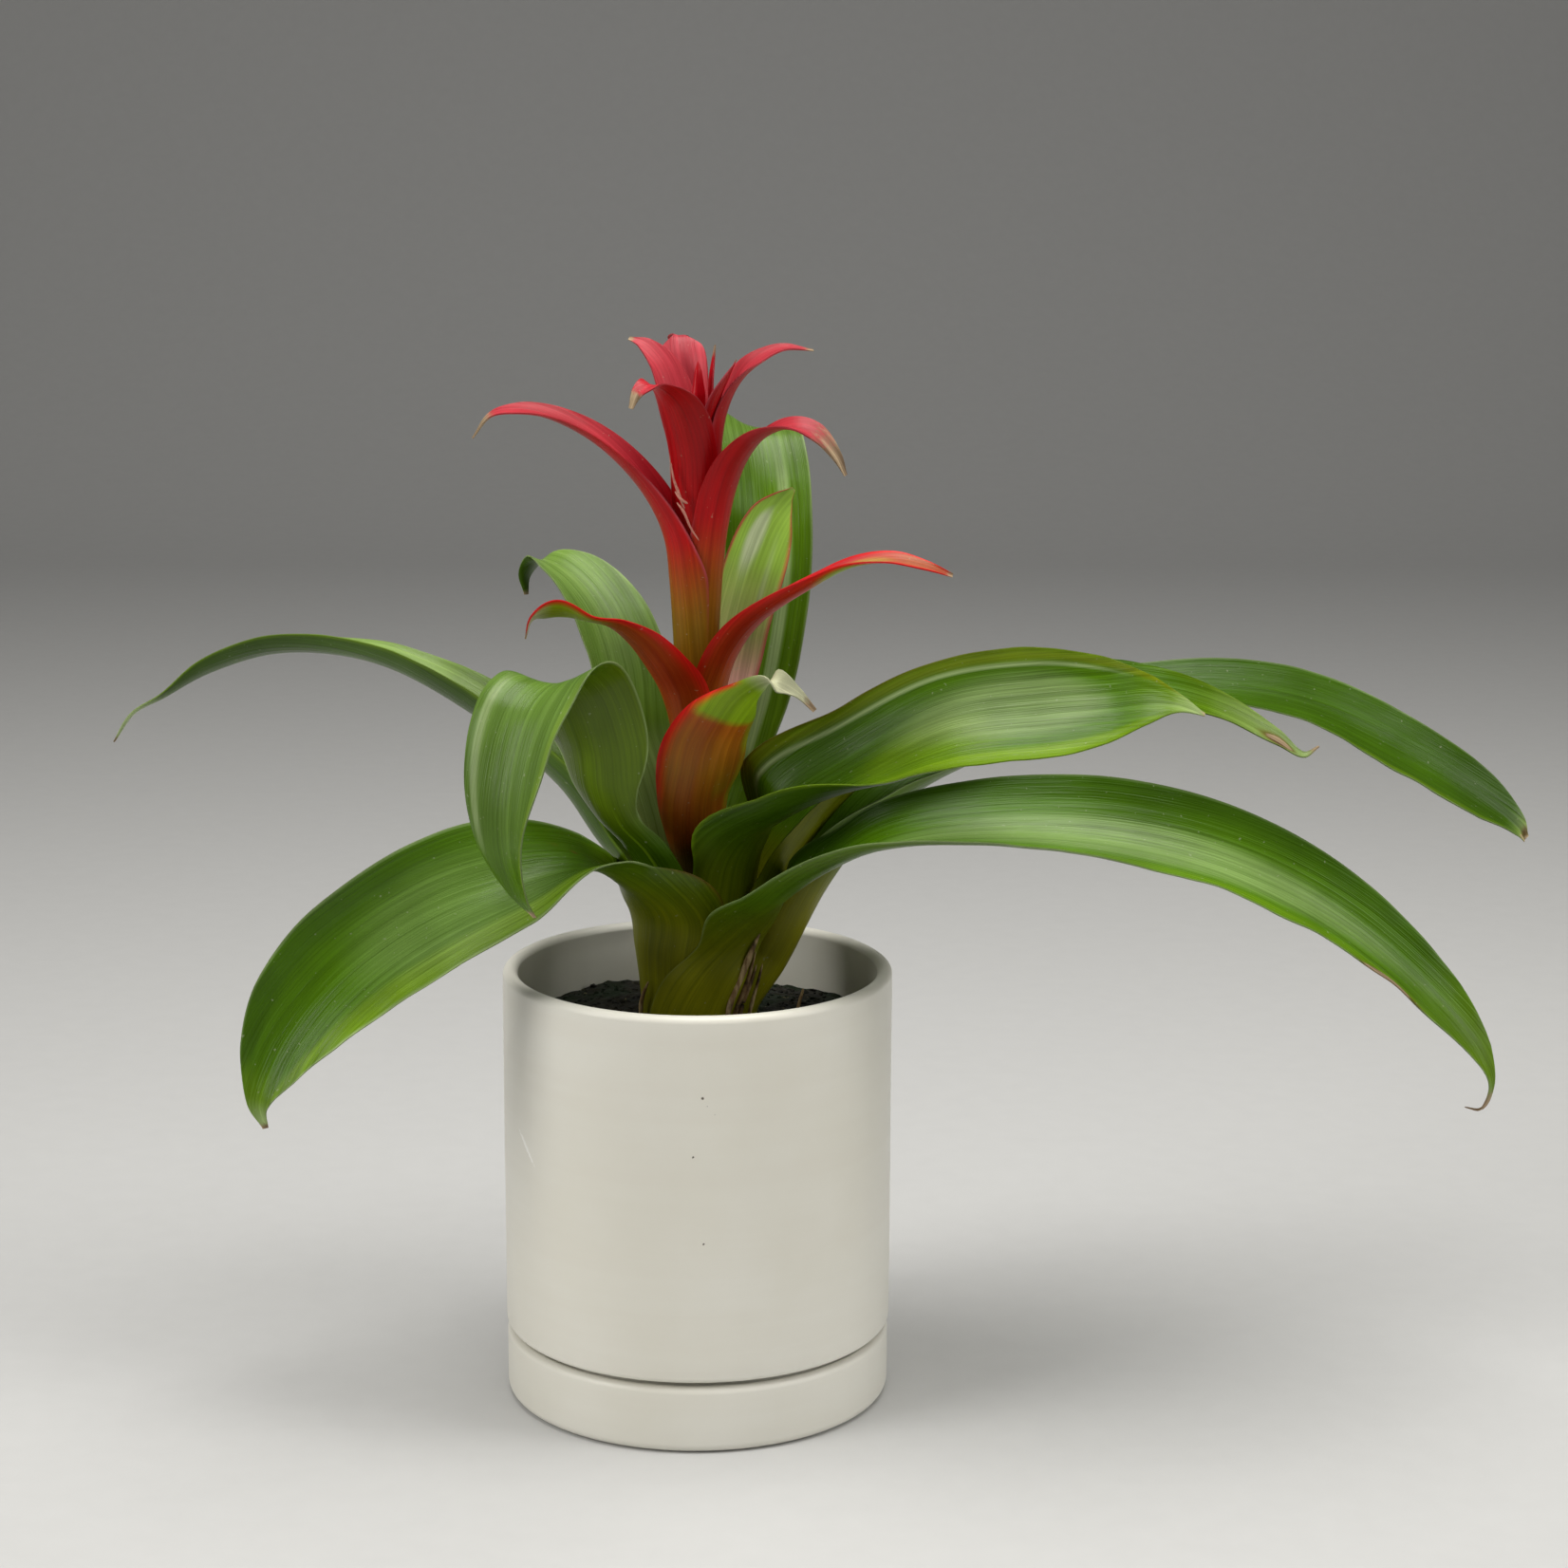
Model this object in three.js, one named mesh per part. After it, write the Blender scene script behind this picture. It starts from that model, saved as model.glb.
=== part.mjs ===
// Potted guzmania: a bromeliad with a rosette of strap leaves and a red flower head,
// growing in a round ceramic pot that stands on a matching saucer.
// Millimetres, +Z up. The origin is the middle of the saucer's flat underside,
// and the front of the plant faces -Y.
import * as THREE from 'three';

// Pot and saucer
const POT_RADIUS = 65;
const POT_WALL = 5;
const POT_TOP = 146.4;
const POT_LIP = 2.4;
const POT_EDGE = 1.8;
const POT_STEP = 24;
const POT_FOOT_RADIUS = 59;
const POT_FLOOR = 6;
const DRAIN_RADIUS = 7;
const SAUCER_RADIUS = 64.6;
const SAUCER_WALL = 4.6;
const SAUCER_HEIGHT = 22.3;
const SAUCER_FLOOR = 5;
const SAUCER_EDGE = 3;
const CLEARANCE = 0.3;
const ROUND_SIDES = 48;

// Potting mix, with the plain holes that the stem and the leaf feet stand in
const SOIL_TOP = 126;
const SOIL_CROWN = 1.5;
const SOIL_RELIEF = 0.9;
const POCKET_RADIUS = 23;
const POCKET_FLOOR = 117;
const STUMP_RADIUS = 14;
const STUMP_BOTTOM = 70;

// Rosette: each leaf foot stands on the stem's cone, one layer further in than the last
const LEAF_THICKNESS = 0.8;
const OUTER_FOOT_RADIUS = 20.5;
const OUTER_FOOT_HEIGHT = 119;
const LAYER_PITCH = 1.25;
const LAYER_RISE = 2.6;
const LEAF_COUNT = 9;
const FLARE_HEIGHT = 31.6;
const LONG_SHEATH = 30;

// Flower stem, and the bracts set one above another along it
const STALK_FOOT_RADIUS = 7;
const STALK_FOOT_HEIGHT = 165;
const STALK_TAPER = 0.042;
const STALK_TOP = 303;
const STALK_SIDES = 20;
const BRACT_THICKNESS = 0.7;
const BRACT_FLARE = 0.055;
const BUD_TOP = 347;
const BUD_RADIUS = 2.4;
const BUD_SIDES = 12;
const BUD_RIBS = 3;
const BUD_RIB_DEPTH = 0.14;

// How finely a blade is built
const BLADE_COLUMNS = 6;
const ROWS_PER_SPAN = 2;
const DIRECTION_STEP = 0.002;
const LEAST_CUP = 5;
const LEAST_HALF = 0.5;

const COLOURS = {
  ceramic: 0xd9d5cc,
  soil: 0x1d1a12,
  stalk: 0x8a8434,
  leaf: 0x3f7220,
  bract: 0xb8101c,
  paleBract: 0x9db27a,
};

const group = new THREE.Group();

function addMesh(name, geometry, colour, roughness) {
  const material = new THREE.MeshStandardMaterial({ color: colour, roughness, metalness: 0 });
  const mesh = new THREE.Mesh(geometry, material);
  mesh.name = name;
  group.add(mesh);
}

// Turned parts

function arc(points, centreX, centreY, radius, fromDegrees, toDegrees, steps) {
  for (let i = 0; i <= steps; i++) {
    const angle = THREE.MathUtils.degToRad(fromDegrees + (toDegrees - fromDegrees) * i / steps);
    points.push(new THREE.Vector2(centreX + radius * Math.cos(angle), centreY + radius * Math.sin(angle)));
  }
}

function turned(points, sides) {
  const geometry = new THREE.LatheGeometry(points, sides);
  geometry.rotateX(Math.PI / 2);
  return geometry;
}

function saucerGeometry() {
  const inside = SAUCER_RADIUS - SAUCER_WALL;
  const lip = SAUCER_WALL / 2;
  const points = [new THREE.Vector2(0, 0)];
  arc(points, SAUCER_RADIUS - SAUCER_EDGE, SAUCER_EDGE, SAUCER_EDGE, -90, 0, 4);
  arc(points, SAUCER_RADIUS - lip, SAUCER_HEIGHT - lip, lip, 0, 180, 6);
  points.push(new THREE.Vector2(inside, SAUCER_FLOOR));
  points.push(new THREE.Vector2(0, SAUCER_FLOOR));
  return turned(points, ROUND_SIDES);
}

function potGeometry() {
  const bottom = SAUCER_FLOOR + CLEARANCE;
  const inside = POT_RADIUS - POT_WALL;
  const footInside = POT_FOOT_RADIUS - POT_WALL;
  const points = [
    new THREE.Vector2(DRAIN_RADIUS, bottom),
    new THREE.Vector2(POT_FOOT_RADIUS, bottom),
    new THREE.Vector2(POT_FOOT_RADIUS, POT_STEP),
  ];
  arc(points, POT_RADIUS - POT_EDGE, POT_STEP + POT_EDGE, POT_EDGE, -90, 0, 3);
  arc(points, POT_RADIUS - POT_LIP, POT_TOP - POT_LIP, POT_LIP, 0, 90, 4);
  arc(points, inside + POT_LIP, POT_TOP - POT_LIP, POT_LIP, 90, 180, 4);
  points.push(new THREE.Vector2(inside, POT_STEP + POT_WALL + POT_EDGE));
  points.push(new THREE.Vector2(footInside, POT_STEP));
  points.push(new THREE.Vector2(footInside, bottom + POT_FLOOR));
  points.push(new THREE.Vector2(DRAIN_RADIUS, bottom + POT_FLOOR));
  points.push(points[0].clone());
  return turned(points, ROUND_SIDES);
}

function soilGeometry() {
  const inside = POT_RADIUS - POT_WALL - CLEARANCE;
  const footInside = POT_FOOT_RADIUS - POT_WALL - CLEARANCE;
  const bottom = SAUCER_FLOOR + POT_FLOOR + 2 * CLEARANCE;
  const surfaceRings = 5;
  const points = [
    new THREE.Vector2(0, bottom),
    new THREE.Vector2(footInside, bottom),
    new THREE.Vector2(footInside, POT_STEP),
    new THREE.Vector2(inside, POT_STEP + POT_WALL + POT_EDGE),
  ];
  for (let i = 0; i <= surfaceRings; i++) {
    const radius = THREE.MathUtils.lerp(inside, POCKET_RADIUS, i / surfaceRings);
    points.push(new THREE.Vector2(radius, SOIL_TOP + SOIL_CROWN * i / surfaceRings));
  }
  points.push(new THREE.Vector2(POCKET_RADIUS, POCKET_FLOOR));
  points.push(new THREE.Vector2(STUMP_RADIUS + CLEARANCE, POCKET_FLOOR));
  points.push(new THREE.Vector2(STUMP_RADIUS + CLEARANCE, STUMP_BOTTOM - CLEARANCE));
  points.push(new THREE.Vector2(0, STUMP_BOTTOM - CLEARANCE));
  const geometry = turned(points, ROUND_SIDES);
  // the surface of the mix is gently uneven
  const place = geometry.attributes.position;
  for (let i = 0; i < place.count; i++) {
    const x = place.getX(i);
    const y = place.getY(i);
    const z = place.getZ(i);
    if (z > SOIL_TOP - 1) {
      const bump = Math.sin(x * 0.23 + 1.3) * Math.cos(y * 0.19 - 0.6) + 0.5 * Math.sin((x + y) * 0.31);
      place.setZ(i, z + SOIL_RELIEF * bump);
    }
  }
  return geometry;
}

function stalkRadius(height) {
  return STALK_FOOT_RADIUS - STALK_TAPER * (height - STALK_FOOT_HEIGHT);
}

function stalkGeometry() {
  const footGap = CLEARANCE + LEAF_THICKNESS / 2;
  const coneTopRadius = OUTER_FOOT_RADIUS - LAYER_PITCH * (LEAF_COUNT - 1) - footGap;
  const coneTopHeight = OUTER_FOOT_HEIGHT + LAYER_RISE * (LEAF_COUNT - 1);
  const points = [
    new THREE.Vector2(0, STUMP_BOTTOM),
    new THREE.Vector2(STUMP_RADIUS, STUMP_BOTTOM),
    new THREE.Vector2(STUMP_RADIUS, POCKET_FLOOR),
    new THREE.Vector2(OUTER_FOOT_RADIUS - footGap, OUTER_FOOT_HEIGHT - CLEARANCE),
    new THREE.Vector2(coneTopRadius, coneTopHeight),
    new THREE.Vector2(STALK_FOOT_RADIUS, STALK_FOOT_HEIGHT),
    new THREE.Vector2(stalkRadius(STALK_TOP), STALK_TOP),
    new THREE.Vector2(0, STALK_TOP),
  ];
  return turned(points, STALK_SIDES);
}

// Blades: leaves and bracts

// A station along a blade: its middle, half width round the curve, cup (half the angle
// that the section bends through), roll about the blade's run, heading of its foot,
// and level (1 where the section lies flat round the stem, 0 where it is square to the run).
function station(x, y, z, half, cup, roll, heading, level) {
  return { middle: new THREE.Vector3(x, y, z), half, cup, roll, heading, level };
}

function wrapStation(heading, radius, height, wrap) {
  const angle = THREE.MathUtils.degToRad(heading);
  const half = radius * THREE.MathUtils.degToRad(wrap);
  return station(radius * Math.cos(angle), radius * Math.sin(angle), height, half, wrap, 0, heading, 1);
}

function smoothValue(stations, key, position) {
  const last = stations.length - 1;
  const index = Math.min(Math.floor(position), last - 1);
  const t = position - index;
  const before = stations[Math.max(index - 1, 0)][key];
  const from = stations[index][key];
  const to = stations[index + 1][key];
  const after = stations[Math.min(index + 2, last)][key];
  const slopeFrom = (to - before) / 2;
  const slopeTo = (after - from) / 2;
  const t2 = t * t;
  const t3 = t2 * t;
  return (2 * t3 - 3 * t2 + 1) * from + (t3 - 2 * t2 + t) * slopeFrom
    + (3 * t2 - 2 * t3) * to + (t3 - t2) * slopeTo;
}

function bladeSurface(stations, rows, columns) {
  const last = stations.length - 1;
  const run = new THREE.CatmullRomCurve3(stations.map((s) => s.middle), false, 'centripetal');
  const surface = [];
  for (let i = 0; i <= rows; i++) {
    const position = last * i / rows;
    const middle = run.getPoint(position / last);
    const ahead = run.getPoint(Math.min(position / last + DIRECTION_STEP, 1));
    const behind = run.getPoint(Math.max(position / last - DIRECTION_STEP, 0));
    const along = ahead.sub(behind).normalize();
    const heading = THREE.MathUtils.degToRad(smoothValue(stations, 'heading', position));
    const roll = THREE.MathUtils.degToRad(smoothValue(stations, 'roll', position));
    const cup = THREE.MathUtils.degToRad(Math.max(smoothValue(stations, 'cup', position), LEAST_CUP));
    const half = Math.max(smoothValue(stations, 'half', position), LEAST_HALF);
    const level = THREE.MathUtils.clamp(smoothValue(stations, 'level', position), 0, 1);
    // the blade's own section is square to its run
    const side = new THREE.Vector3(-Math.sin(heading), Math.cos(heading), 0);
    side.addScaledVector(along, -along.dot(side)).normalize().applyAxisAngle(along, roll);
    const inward = along.clone().cross(side);
    // the sheath's section is a level arc centred on the stem
    const stemInward = new THREE.Vector3(-middle.x, -middle.y, 0);
    const stemDistance = stemInward.length();
    stemInward.normalize();
    side.lerp(new THREE.Vector3(stemInward.y, -stemInward.x, 0), level).normalize();
    inward.lerp(stemInward, level);
    inward.addScaledVector(side, -inward.dot(side)).normalize();
    const bend = THREE.MathUtils.lerp(half / cup, stemDistance, level);
    const row = [];
    for (let j = 0; j <= columns; j++) {
      const angle = cup * (2 * j / columns - 1);
      row.push(middle.clone()
        .addScaledVector(side, bend * Math.sin(angle))
        .addScaledVector(inward, bend * (1 - Math.cos(angle))));
    }
    surface.push(row);
  }
  return surface;
}

function thickSheet(surface, thickness) {
  const rows = surface.length - 1;
  const columns = surface[0].length - 1;
  const positions = [];
  const indices = [];
  const width = columns + 1;
  const faceSize = (rows + 1) * width;
  for (const direction of [1, -1]) {
    for (let i = 0; i <= rows; i++) {
      for (let j = 0; j <= columns; j++) {
        const along = surface[Math.min(i + 1, rows)][j].clone().sub(surface[Math.max(i - 1, 0)][j]);
        const across = surface[i][Math.min(j + 1, columns)].clone().sub(surface[i][Math.max(j - 1, 0)]);
        const normal = along.cross(across).normalize();
        const point = surface[i][j].clone().addScaledVector(normal, direction * thickness / 2);
        positions.push(point.x, point.y, point.z);
      }
    }
  }
  const quad = (a, b, c, d) => indices.push(a, b, c, a, c, d);
  for (let i = 0; i < rows; i++) {
    for (let j = 0; j < columns; j++) {
      const a = i * width + j;
      const b = a + width;
      indices.push(a, b, b + 1, a, b + 1, a + 1);
      indices.push(faceSize + a, faceSize + b + 1, faceSize + b);
      indices.push(faceSize + a, faceSize + a + 1, faceSize + b + 1);
    }
    const left = i * width;
    quad(left, faceSize + left, faceSize + left + width, left + width);
    const right = left + columns;
    quad(right, right + width, faceSize + right + width, faceSize + right);
  }
  for (let j = 0; j < columns; j++) {
    quad(j, j + 1, faceSize + j + 1, faceSize + j);
    const end = rows * width + j;
    quad(end, faceSize + end, faceSize + end + 1, end + 1);
  }
  const geometry = new THREE.BufferGeometry();
  geometry.setAttribute('position', new THREE.Float32BufferAttribute(positions, 3));
  geometry.setIndex(indices);
  geometry.computeVertexNormals();
  return geometry;
}

function addBlade(name, stations, thickness, colour) {
  const rows = ROWS_PER_SPAN * (stations.length - 1);
  addMesh(name, thickSheet(bladeSurface(stations, rows, BLADE_COLUMNS), thickness), colour, 0.4);
}

// Leaves from the outermost layer inwards. Foot: heading at the bottom and top of the
// sheath, wrap (half angle round the stem) at the bottom and top, height where the blade
// parts from its neighbours, and flare, which is how far the sheath leans out at
// FLARE_HEIGHT above the outermost foot. Blade: heading of the blade past the sheath.
// Path: x, y, z, half width, cup, roll.
const LEAVES = [
  {
    name: 'leaf_right_front_long',
    foot: { heading: [-104, -52], wrap: [42, 37], parting: 160, flare: 2.2 },
    blade: -25,
    path: [
      [27.5, -27, 174.5, 21, 54, 4], [42, -38, 188, 18.5, 48, 9], [62, -42, 198, 18, 38, 20],
      [94, -45, 203, 19, 33, 28], [134, -49, 202, 19, 30, 36], [170, -52, 193.4, 17.5, 28, 37],
      [205, -54, 175.5, 14.5, 25, 35], [236, -57, 149, 10, 22, 30], [250, -57, 132, 4.6, 20, 35],
      [254, -57, 121, 1.4, 20, 20], [251, -57, 113.5, 1.4, 20, 0], [246, -57, 114, 0.8, 20, 0],
    ],
  },
  {
    name: 'leaf_right_back_long',
    foot: { heading: [0, 4], wrap: [60, 56], parting: 131, flare: 2.4 },
    blade: 15,
    path: [
      [28.5, 4, 145, 19, 60, 0], [44, 7, 174, 21, 55, 0], [64, 14, 197, 19, 45, 5],
      [108, 30, 219, 17, 36, 14], [160, 36, 231, 17, 32, 14], [203, 41, 227, 17, 28, 28],
      [240, 44, 211, 15, 25, 44], [271, 44, 193, 11, 22, 52], [284, 44, 183, 5, 20, 55],
      [287, 44, 179, 2, 20, 55],
    ],
  },
  {
    name: 'leaf_left_broad',
    foot: { heading: [-140, -127], wrap: [64, 58], parting: 168, flare: 2.3 },
    blade: -165,
    path: [
      [-25, -26, 180.5, 16.5, 63, 13], [-35, -30.5, 186.5, 18.5, 48, 0], [-57, -36, 184.5, 21.5, 33, -38],
      [-84, -42, 176.5, 22, 27, -66], [-110, -49, 160.5, 21, 24, -66], [-126, -54, 144, 17.5, 22, -62],
      [-135, -57, 129, 11, 20, -58], [-139, -59, 116, 4, 20, -50], [-137, -60, 109, 1, 20, -50],
    ],
  },
  {
    name: 'leaf_left_arched',
    foot: { heading: [-122, -122], wrap: [62, 40], parting: 166, flare: 2.0 },
    blade: -120,
    path: [
      [-13.5, -21, 179, 11, 50, -4], [-19.5, -25, 191, 10.5, 46, -6], [-27.5, -29, 201, 10, 42, -6],
      [-31.5, -34, 212, 13, 40, 2], [-33, -41, 228, 18, 36, 12],
      [-38, -51, 245, 18.5, 28, 24], [-44, -60, 252, 17.5, 24, 8], [-52, -70, 246, 16.5, 22, -5],
      [-58, -78, 226, 15, 22, 0], [-59, -81, 205, 10.4, 22, 10], [-55, -79, 190, 5, 20, 15],
      [-50, -77, 182, 1, 20, 15],
    ],
  },
  {
    name: 'leaf_right_back_short',
    foot: { heading: [20, 8], wrap: [58, 50], parting: 158, flare: 2.2 },
    blade: 5,
    path: [
      [27.5, 5, 173.5, 19.5, 74, 2], [38.5, 7, 189, 18, 64, 0], [55, 9.5, 207, 14, 46, 6],
      [94, 11, 231, 12.5, 38, 24], [132, 9, 239, 11.5, 32, 26], [158, 10, 236, 9, 30, 34],
      [176, 11, 230, 6.5, 28, 36], [193, 12, 221, 4, 25, 34], [203, 13, 215, 1.6, 20, 20],
      [208, 13, 218, 0.8, 20, 0],
    ],
  },
  {
    name: 'leaf_right_broad',
    foot: { heading: [-34, -32], wrap: [70, 62], parting: 188, flare: 1.6 },
    blade: -5,
    path: [
      [28.5, -14, 201, 25, 74, 13], [52, -12.5, 215, 24, 60, 32], [82, -16, 231, 22.5, 37, 48],
      [112, -19, 236, 21.5, 34, 54], [132, -21, 238, 17, 31, 50], [146, -25, 240, 9, 28, 50],
      [155, -26, 239, 4, 26, 40], [163, -26, 236, 1, 20, 40],
    ],
  },
  {
    name: 'leaf_left_back_long',
    foot: { heading: [172, 157], wrap: [70, 36], parting: 170, flare: 1.8 },
    blade: 170,
    path: [
      [-32, 7.5, 187, 15.5, 60, 0], [-45.5, 18, 204, 20, 70, 0], [-76, 42, 224, 18, 70, 0],
      [-112, 60, 238.5, 15, 56, 8], [-145, 68, 240.5, 12, 50, 14], [-170, 72, 233, 9, 42, 14],
      [-186, 72, 224, 5, 36, 0], [-197, 72, 218, 2.4, 25, 0], [-204, 72, 208, 0.8, 20, 0],
    ],
  },
  {
    name: 'leaf_back_left',
    foot: { heading: [135, 142], wrap: [70, 66], parting: 190, flare: 1.3 },
    blade: 130,
    path: [
      [-19, 14, 206, 17, 54, 5], [-24, 18, 223, 17.5, 42, 8], [-27, 30, 243, 18, 34, 0],
      [-34, 41, 260, 17, 29, 2], [-45, 52, 271, 13, 26, 0], [-54, 58, 274, 7, 25, 0],
      [-59, 60, 269, 3, 20, 0], [-59, 60, 262, 0.8, 20, 0],
    ],
  },
  {
    name: 'leaf_back_upright',
    foot: { heading: [75, 76], wrap: [64, 44], parting: 186, flare: 1.0 },
    blade: 80,
    path: [
      [8.5, 20.8, 206, 12.2, 44, 12], [17, 27, 240, 16, 40, 26], [22, 34, 275, 16.5, 34, 24],
      [21, 46, 305, 17, 28, 24], [18, 60, 319, 16.5, 25, 20], [16, 78, 316, 14, 24, 10],
      [13, 96, 302, 10.5, 22, 0], [10, 108, 284, 6, 20, 0], [9, 113, 273, 1, 20, 0],
    ],
  },
];

function leafStations(leaf, layer) {
  const { heading, wrap, parting, flare } = leaf.foot;
  const footRadius = OUTER_FOOT_RADIUS - LAYER_PITCH * layer;
  const footHeight = OUTER_FOOT_HEIGHT + LAYER_RISE * layer;
  const spans = parting - footHeight > LONG_SHEATH ? 3 : 2;
  const stations = [];
  for (let i = 0; i <= spans; i++) {
    const share = i / spans;
    const height = THREE.MathUtils.lerp(footHeight, parting, share);
    const radius = footRadius + flare * ((height - OUTER_FOOT_HEIGHT) / FLARE_HEIGHT) ** 2;
    // the sheath's margins stay low round the stem and turn in near its mouth
    const turn = share * share;
    stations.push(wrapStation(
      THREE.MathUtils.lerp(heading[0], heading[1], turn), radius, height,
      THREE.MathUtils.lerp(wrap[0], wrap[1], turn)));
  }
  for (const [x, y, z, half, cup, roll] of leaf.path) {
    stations.push(station(x, y, z, half, cup, roll, leaf.blade, 0));
  }
  return stations;
}

// Bracts from the lowest up. Foot: height on the stalk, heading, wrap and parting height.
const BRACTS = [
  {
    name: 'bract_front_low',
    foot: { height: 168, heading: -85, wrap: 80, parting: 182 },
    path: [
      [0, -12, 190, 11, 56, 4], [0, -20, 205, 13.5, 45, 14], [2, -25, 217, 16.3, 40, 14],
      [4, -28, 226, 15.5, 36, 13], [9, -32, 236, 13, 34, 15], [15, -35, 244, 8, 30, 13],
      [24, -38, 249, 3.6, 25, 10], [31, -39, 246, 2.4, 20, 10], [37, -40, 240, 0.8, 20, 10],
    ],
  },
  {
    name: 'bract_back_pale',
    foot: { height: 180, heading: 75, wrap: 60, parting: 200 },
    path: [
      [5, 14, 218, 9, 48, 10], [9, 18, 242, 11.5, 46, 24], [13, 20, 262, 12.2, 44, 32],
      [18, 24, 279, 12, 40, 34], [23, 28, 291, 9.5, 34, 38], [28, 31, 298, 4.5, 30, 42],
      [32, 32, 302, 0.8, 20, 42],
    ],
  },
  {
    name: 'bract_left_low',
    foot: { height: 191, heading: -145, wrap: 84, parting: 226 },
    path: [
      [-9, -9.5, 239, 14, 72, 8], [-14, -17, 250, 12, 60, 10], [-20, -24, 259, 9.5, 50, 10],
      [-27, -29.5, 265, 7, 38, 5], [-36, -34, 268, 6, 30, 0], [-46, -38, 271, 5.6, 25, 40],
      [-52, -40, 269, 3, 20, 40], [-54, -41, 263, 0.8, 20, 40],
    ],
  },
  {
    name: 'bract_right_low',
    foot: { height: 203, heading: -30, wrap: 80, parting: 232 },
    path: [
      [9.6, -6.4, 246, 12.5, 76, 4], [14, -10, 256, 12, 74, 4], [21, -14, 265, 10.5, 68, 6],
      [36, -19, 276, 8, 56, 8], [49, -22.5, 283.5, 5.8, 42, 12], [62, -25, 286, 4.1, 30, 20],
      [73, -26, 284, 2.2, 20, 25], [81, -26, 281, 0.8, 20, 25],
    ],
  },
  {
    name: 'bract_left_high',
    foot: { height: 214, heading: 180, wrap: 76, parting: 276 },
    path: [
      [-10.6, 0.5, 289, 14, 78, 0], [-15, 1.5, 300, 12.5, 66, -6], [-23, 3.5, 311, 10.6, 58, -10],
      [-35, 5.5, 321.5, 8.6, 50, -12], [-49, 6, 328.5, 6, 40, -14], [-59, 7, 330, 3.8, 30, -22],
      [-67, 7, 328.5, 2, 20, -20], [-73, 7, 321, 0.8, 20, -20],
    ],
  },
  {
    name: 'bract_right_high',
    foot: { height: 226, heading: -25, wrap: 86, parting: 282 },
    path: [
      [9, -4.4, 296, 12.5, 76, -2], [11, -6.2, 306, 12, 70, -4], [14.4, -9, 315.2, 10.5, 62, -4],
      [20.4, -12.5, 323, 8, 50, 0], [29, -15, 327, 5.8, 36, 14], [37, -16, 325.4, 4.2, 25, 30],
      [44, -18, 318, 2.2, 20, 30], [47, -18, 312, 0.8, 20, 30],
    ],
  },
  {
    name: 'bract_front_high',
    foot: { height: 237, heading: -105, wrap: 72, parting: 302 },
    path: [
      [-2.4, -9.6, 316, 9.6, 58, 0], [-4.4, -12.6, 326, 9.4, 50, -4], [-7.4, -16.4, 334, 8.4, 40, -12],
      [-11.4, -20.5, 339, 6.4, 32, -16], [-15.4, -24, 341, 4.2, 26, -10], [-18.8, -26.5, 339, 2.2, 20, 0],
      [-21, -28, 334, 0.8, 20, 0],
    ],
  },
  {
    name: 'bract_right_top',
    foot: { height: 249, heading: 10, wrap: 78, parting: 304 },
    path: [
      [7.6, 1.4, 321, 9, 66, -4], [9.4, 2.6, 331, 8.6, 56, -6], [13.4, 4.8, 340, 7.4, 46, 4],
      [19, 7.2, 346, 5.4, 36, 18], [27.5, 9.2, 350, 3.4, 28, 15], [37.5, 11, 349.5, 0.8, 20, 15],
    ],
  },
  {
    name: 'bract_back_top',
    foot: { height: 260, heading: 92, wrap: 62, parting: 318 },
    path: [
      [-2, 9.2, 332, 6.8, 48, -4], [-4, 12.6, 342, 8, 42, -4], [-5.4, 15.8, 349.4, 8.2, 22, 0],
      [-6, 19.6, 352.8, 6.4, 14, 0], [-6.4, 24.4, 352, 3.6, 12, 0], [-6.8, 28, 348.4, 0.8, 10, 0],
    ],
  },
  {
    name: 'bract_left_top',
    foot: { height: 272, heading: 122, wrap: 62, parting: 314 },
    path: [
      [-5.6, 4.6, 328, 6.4, 54, -4], [-8, 6.2, 336, 6.8, 46, -8], [-11.6, 8.8, 345, 5.2, 36, -14],
      [-17.2, 11.5, 351, 2.8, 24, -20], [-22.4, 13, 353, 0.8, 20, -20],
    ],
  },
  {
    name: 'bract_inner_right',
    foot: { height: 283, heading: -25, wrap: 62, parting: 316 },
    path: [
      [5.4, -2.6, 328, 6, 56, 4], [7.2, -3.6, 336, 5.4, 46, 8], [9.8, -3.8, 342, 3.4, 36, 12],
      [12.4, -3, 347.5, 0.8, 20, 20],
    ],
  },
  {
    name: 'bract_inner_thin',
    foot: { height: 294, heading: 20, wrap: 34, parting: 316 },
    path: [
      [4.4, 1.2, 330, 2, 30, 0], [4.6, 3, 341, 1.8, 28, 0], [5.6, 5.5, 351.5, 0.8, 20, 0],
    ],
  },
];

function bractStations(bract) {
  const { height, heading, wrap, parting } = bract.foot;
  const footRadius = stalkRadius(height) + CLEARANCE + BRACT_THICKNESS / 2;
  const partingRadius = footRadius + BRACT_FLARE * (parting - height);
  const stations = [
    wrapStation(heading, footRadius, height, wrap),
    wrapStation(heading, partingRadius, parting, wrap),
  ];
  for (const [x, y, z, half, cup, roll] of bract.path) {
    stations.push(station(x, y, z, half, cup, roll, heading, 0));
  }
  return stations;
}

// The closed bud at the tip of the stalk, ribbed by the folded bracts in it
function budGeometry() {
  const bottom = STALK_TOP + CLEARANCE;
  const profile = [
    [0, 0], [0.5, 0], [0.62, 0.3], [0.95, 0.75], [0.5, 0.92], [0, 1],
  ];
  const points = profile.map(([r, h]) => new THREE.Vector2(BUD_RADIUS * r, bottom + (BUD_TOP - bottom) * h));
  const geometry = turned(points, BUD_SIDES);
  const place = geometry.attributes.position;
  for (let i = 0; i < place.count; i++) {
    const x = place.getX(i);
    const y = place.getY(i);
    const rib = 1 + BUD_RIB_DEPTH * Math.cos(BUD_RIBS * Math.atan2(y, x));
    place.setXY(i, x * rib, y * rib);
  }
  return geometry;
}

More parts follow.
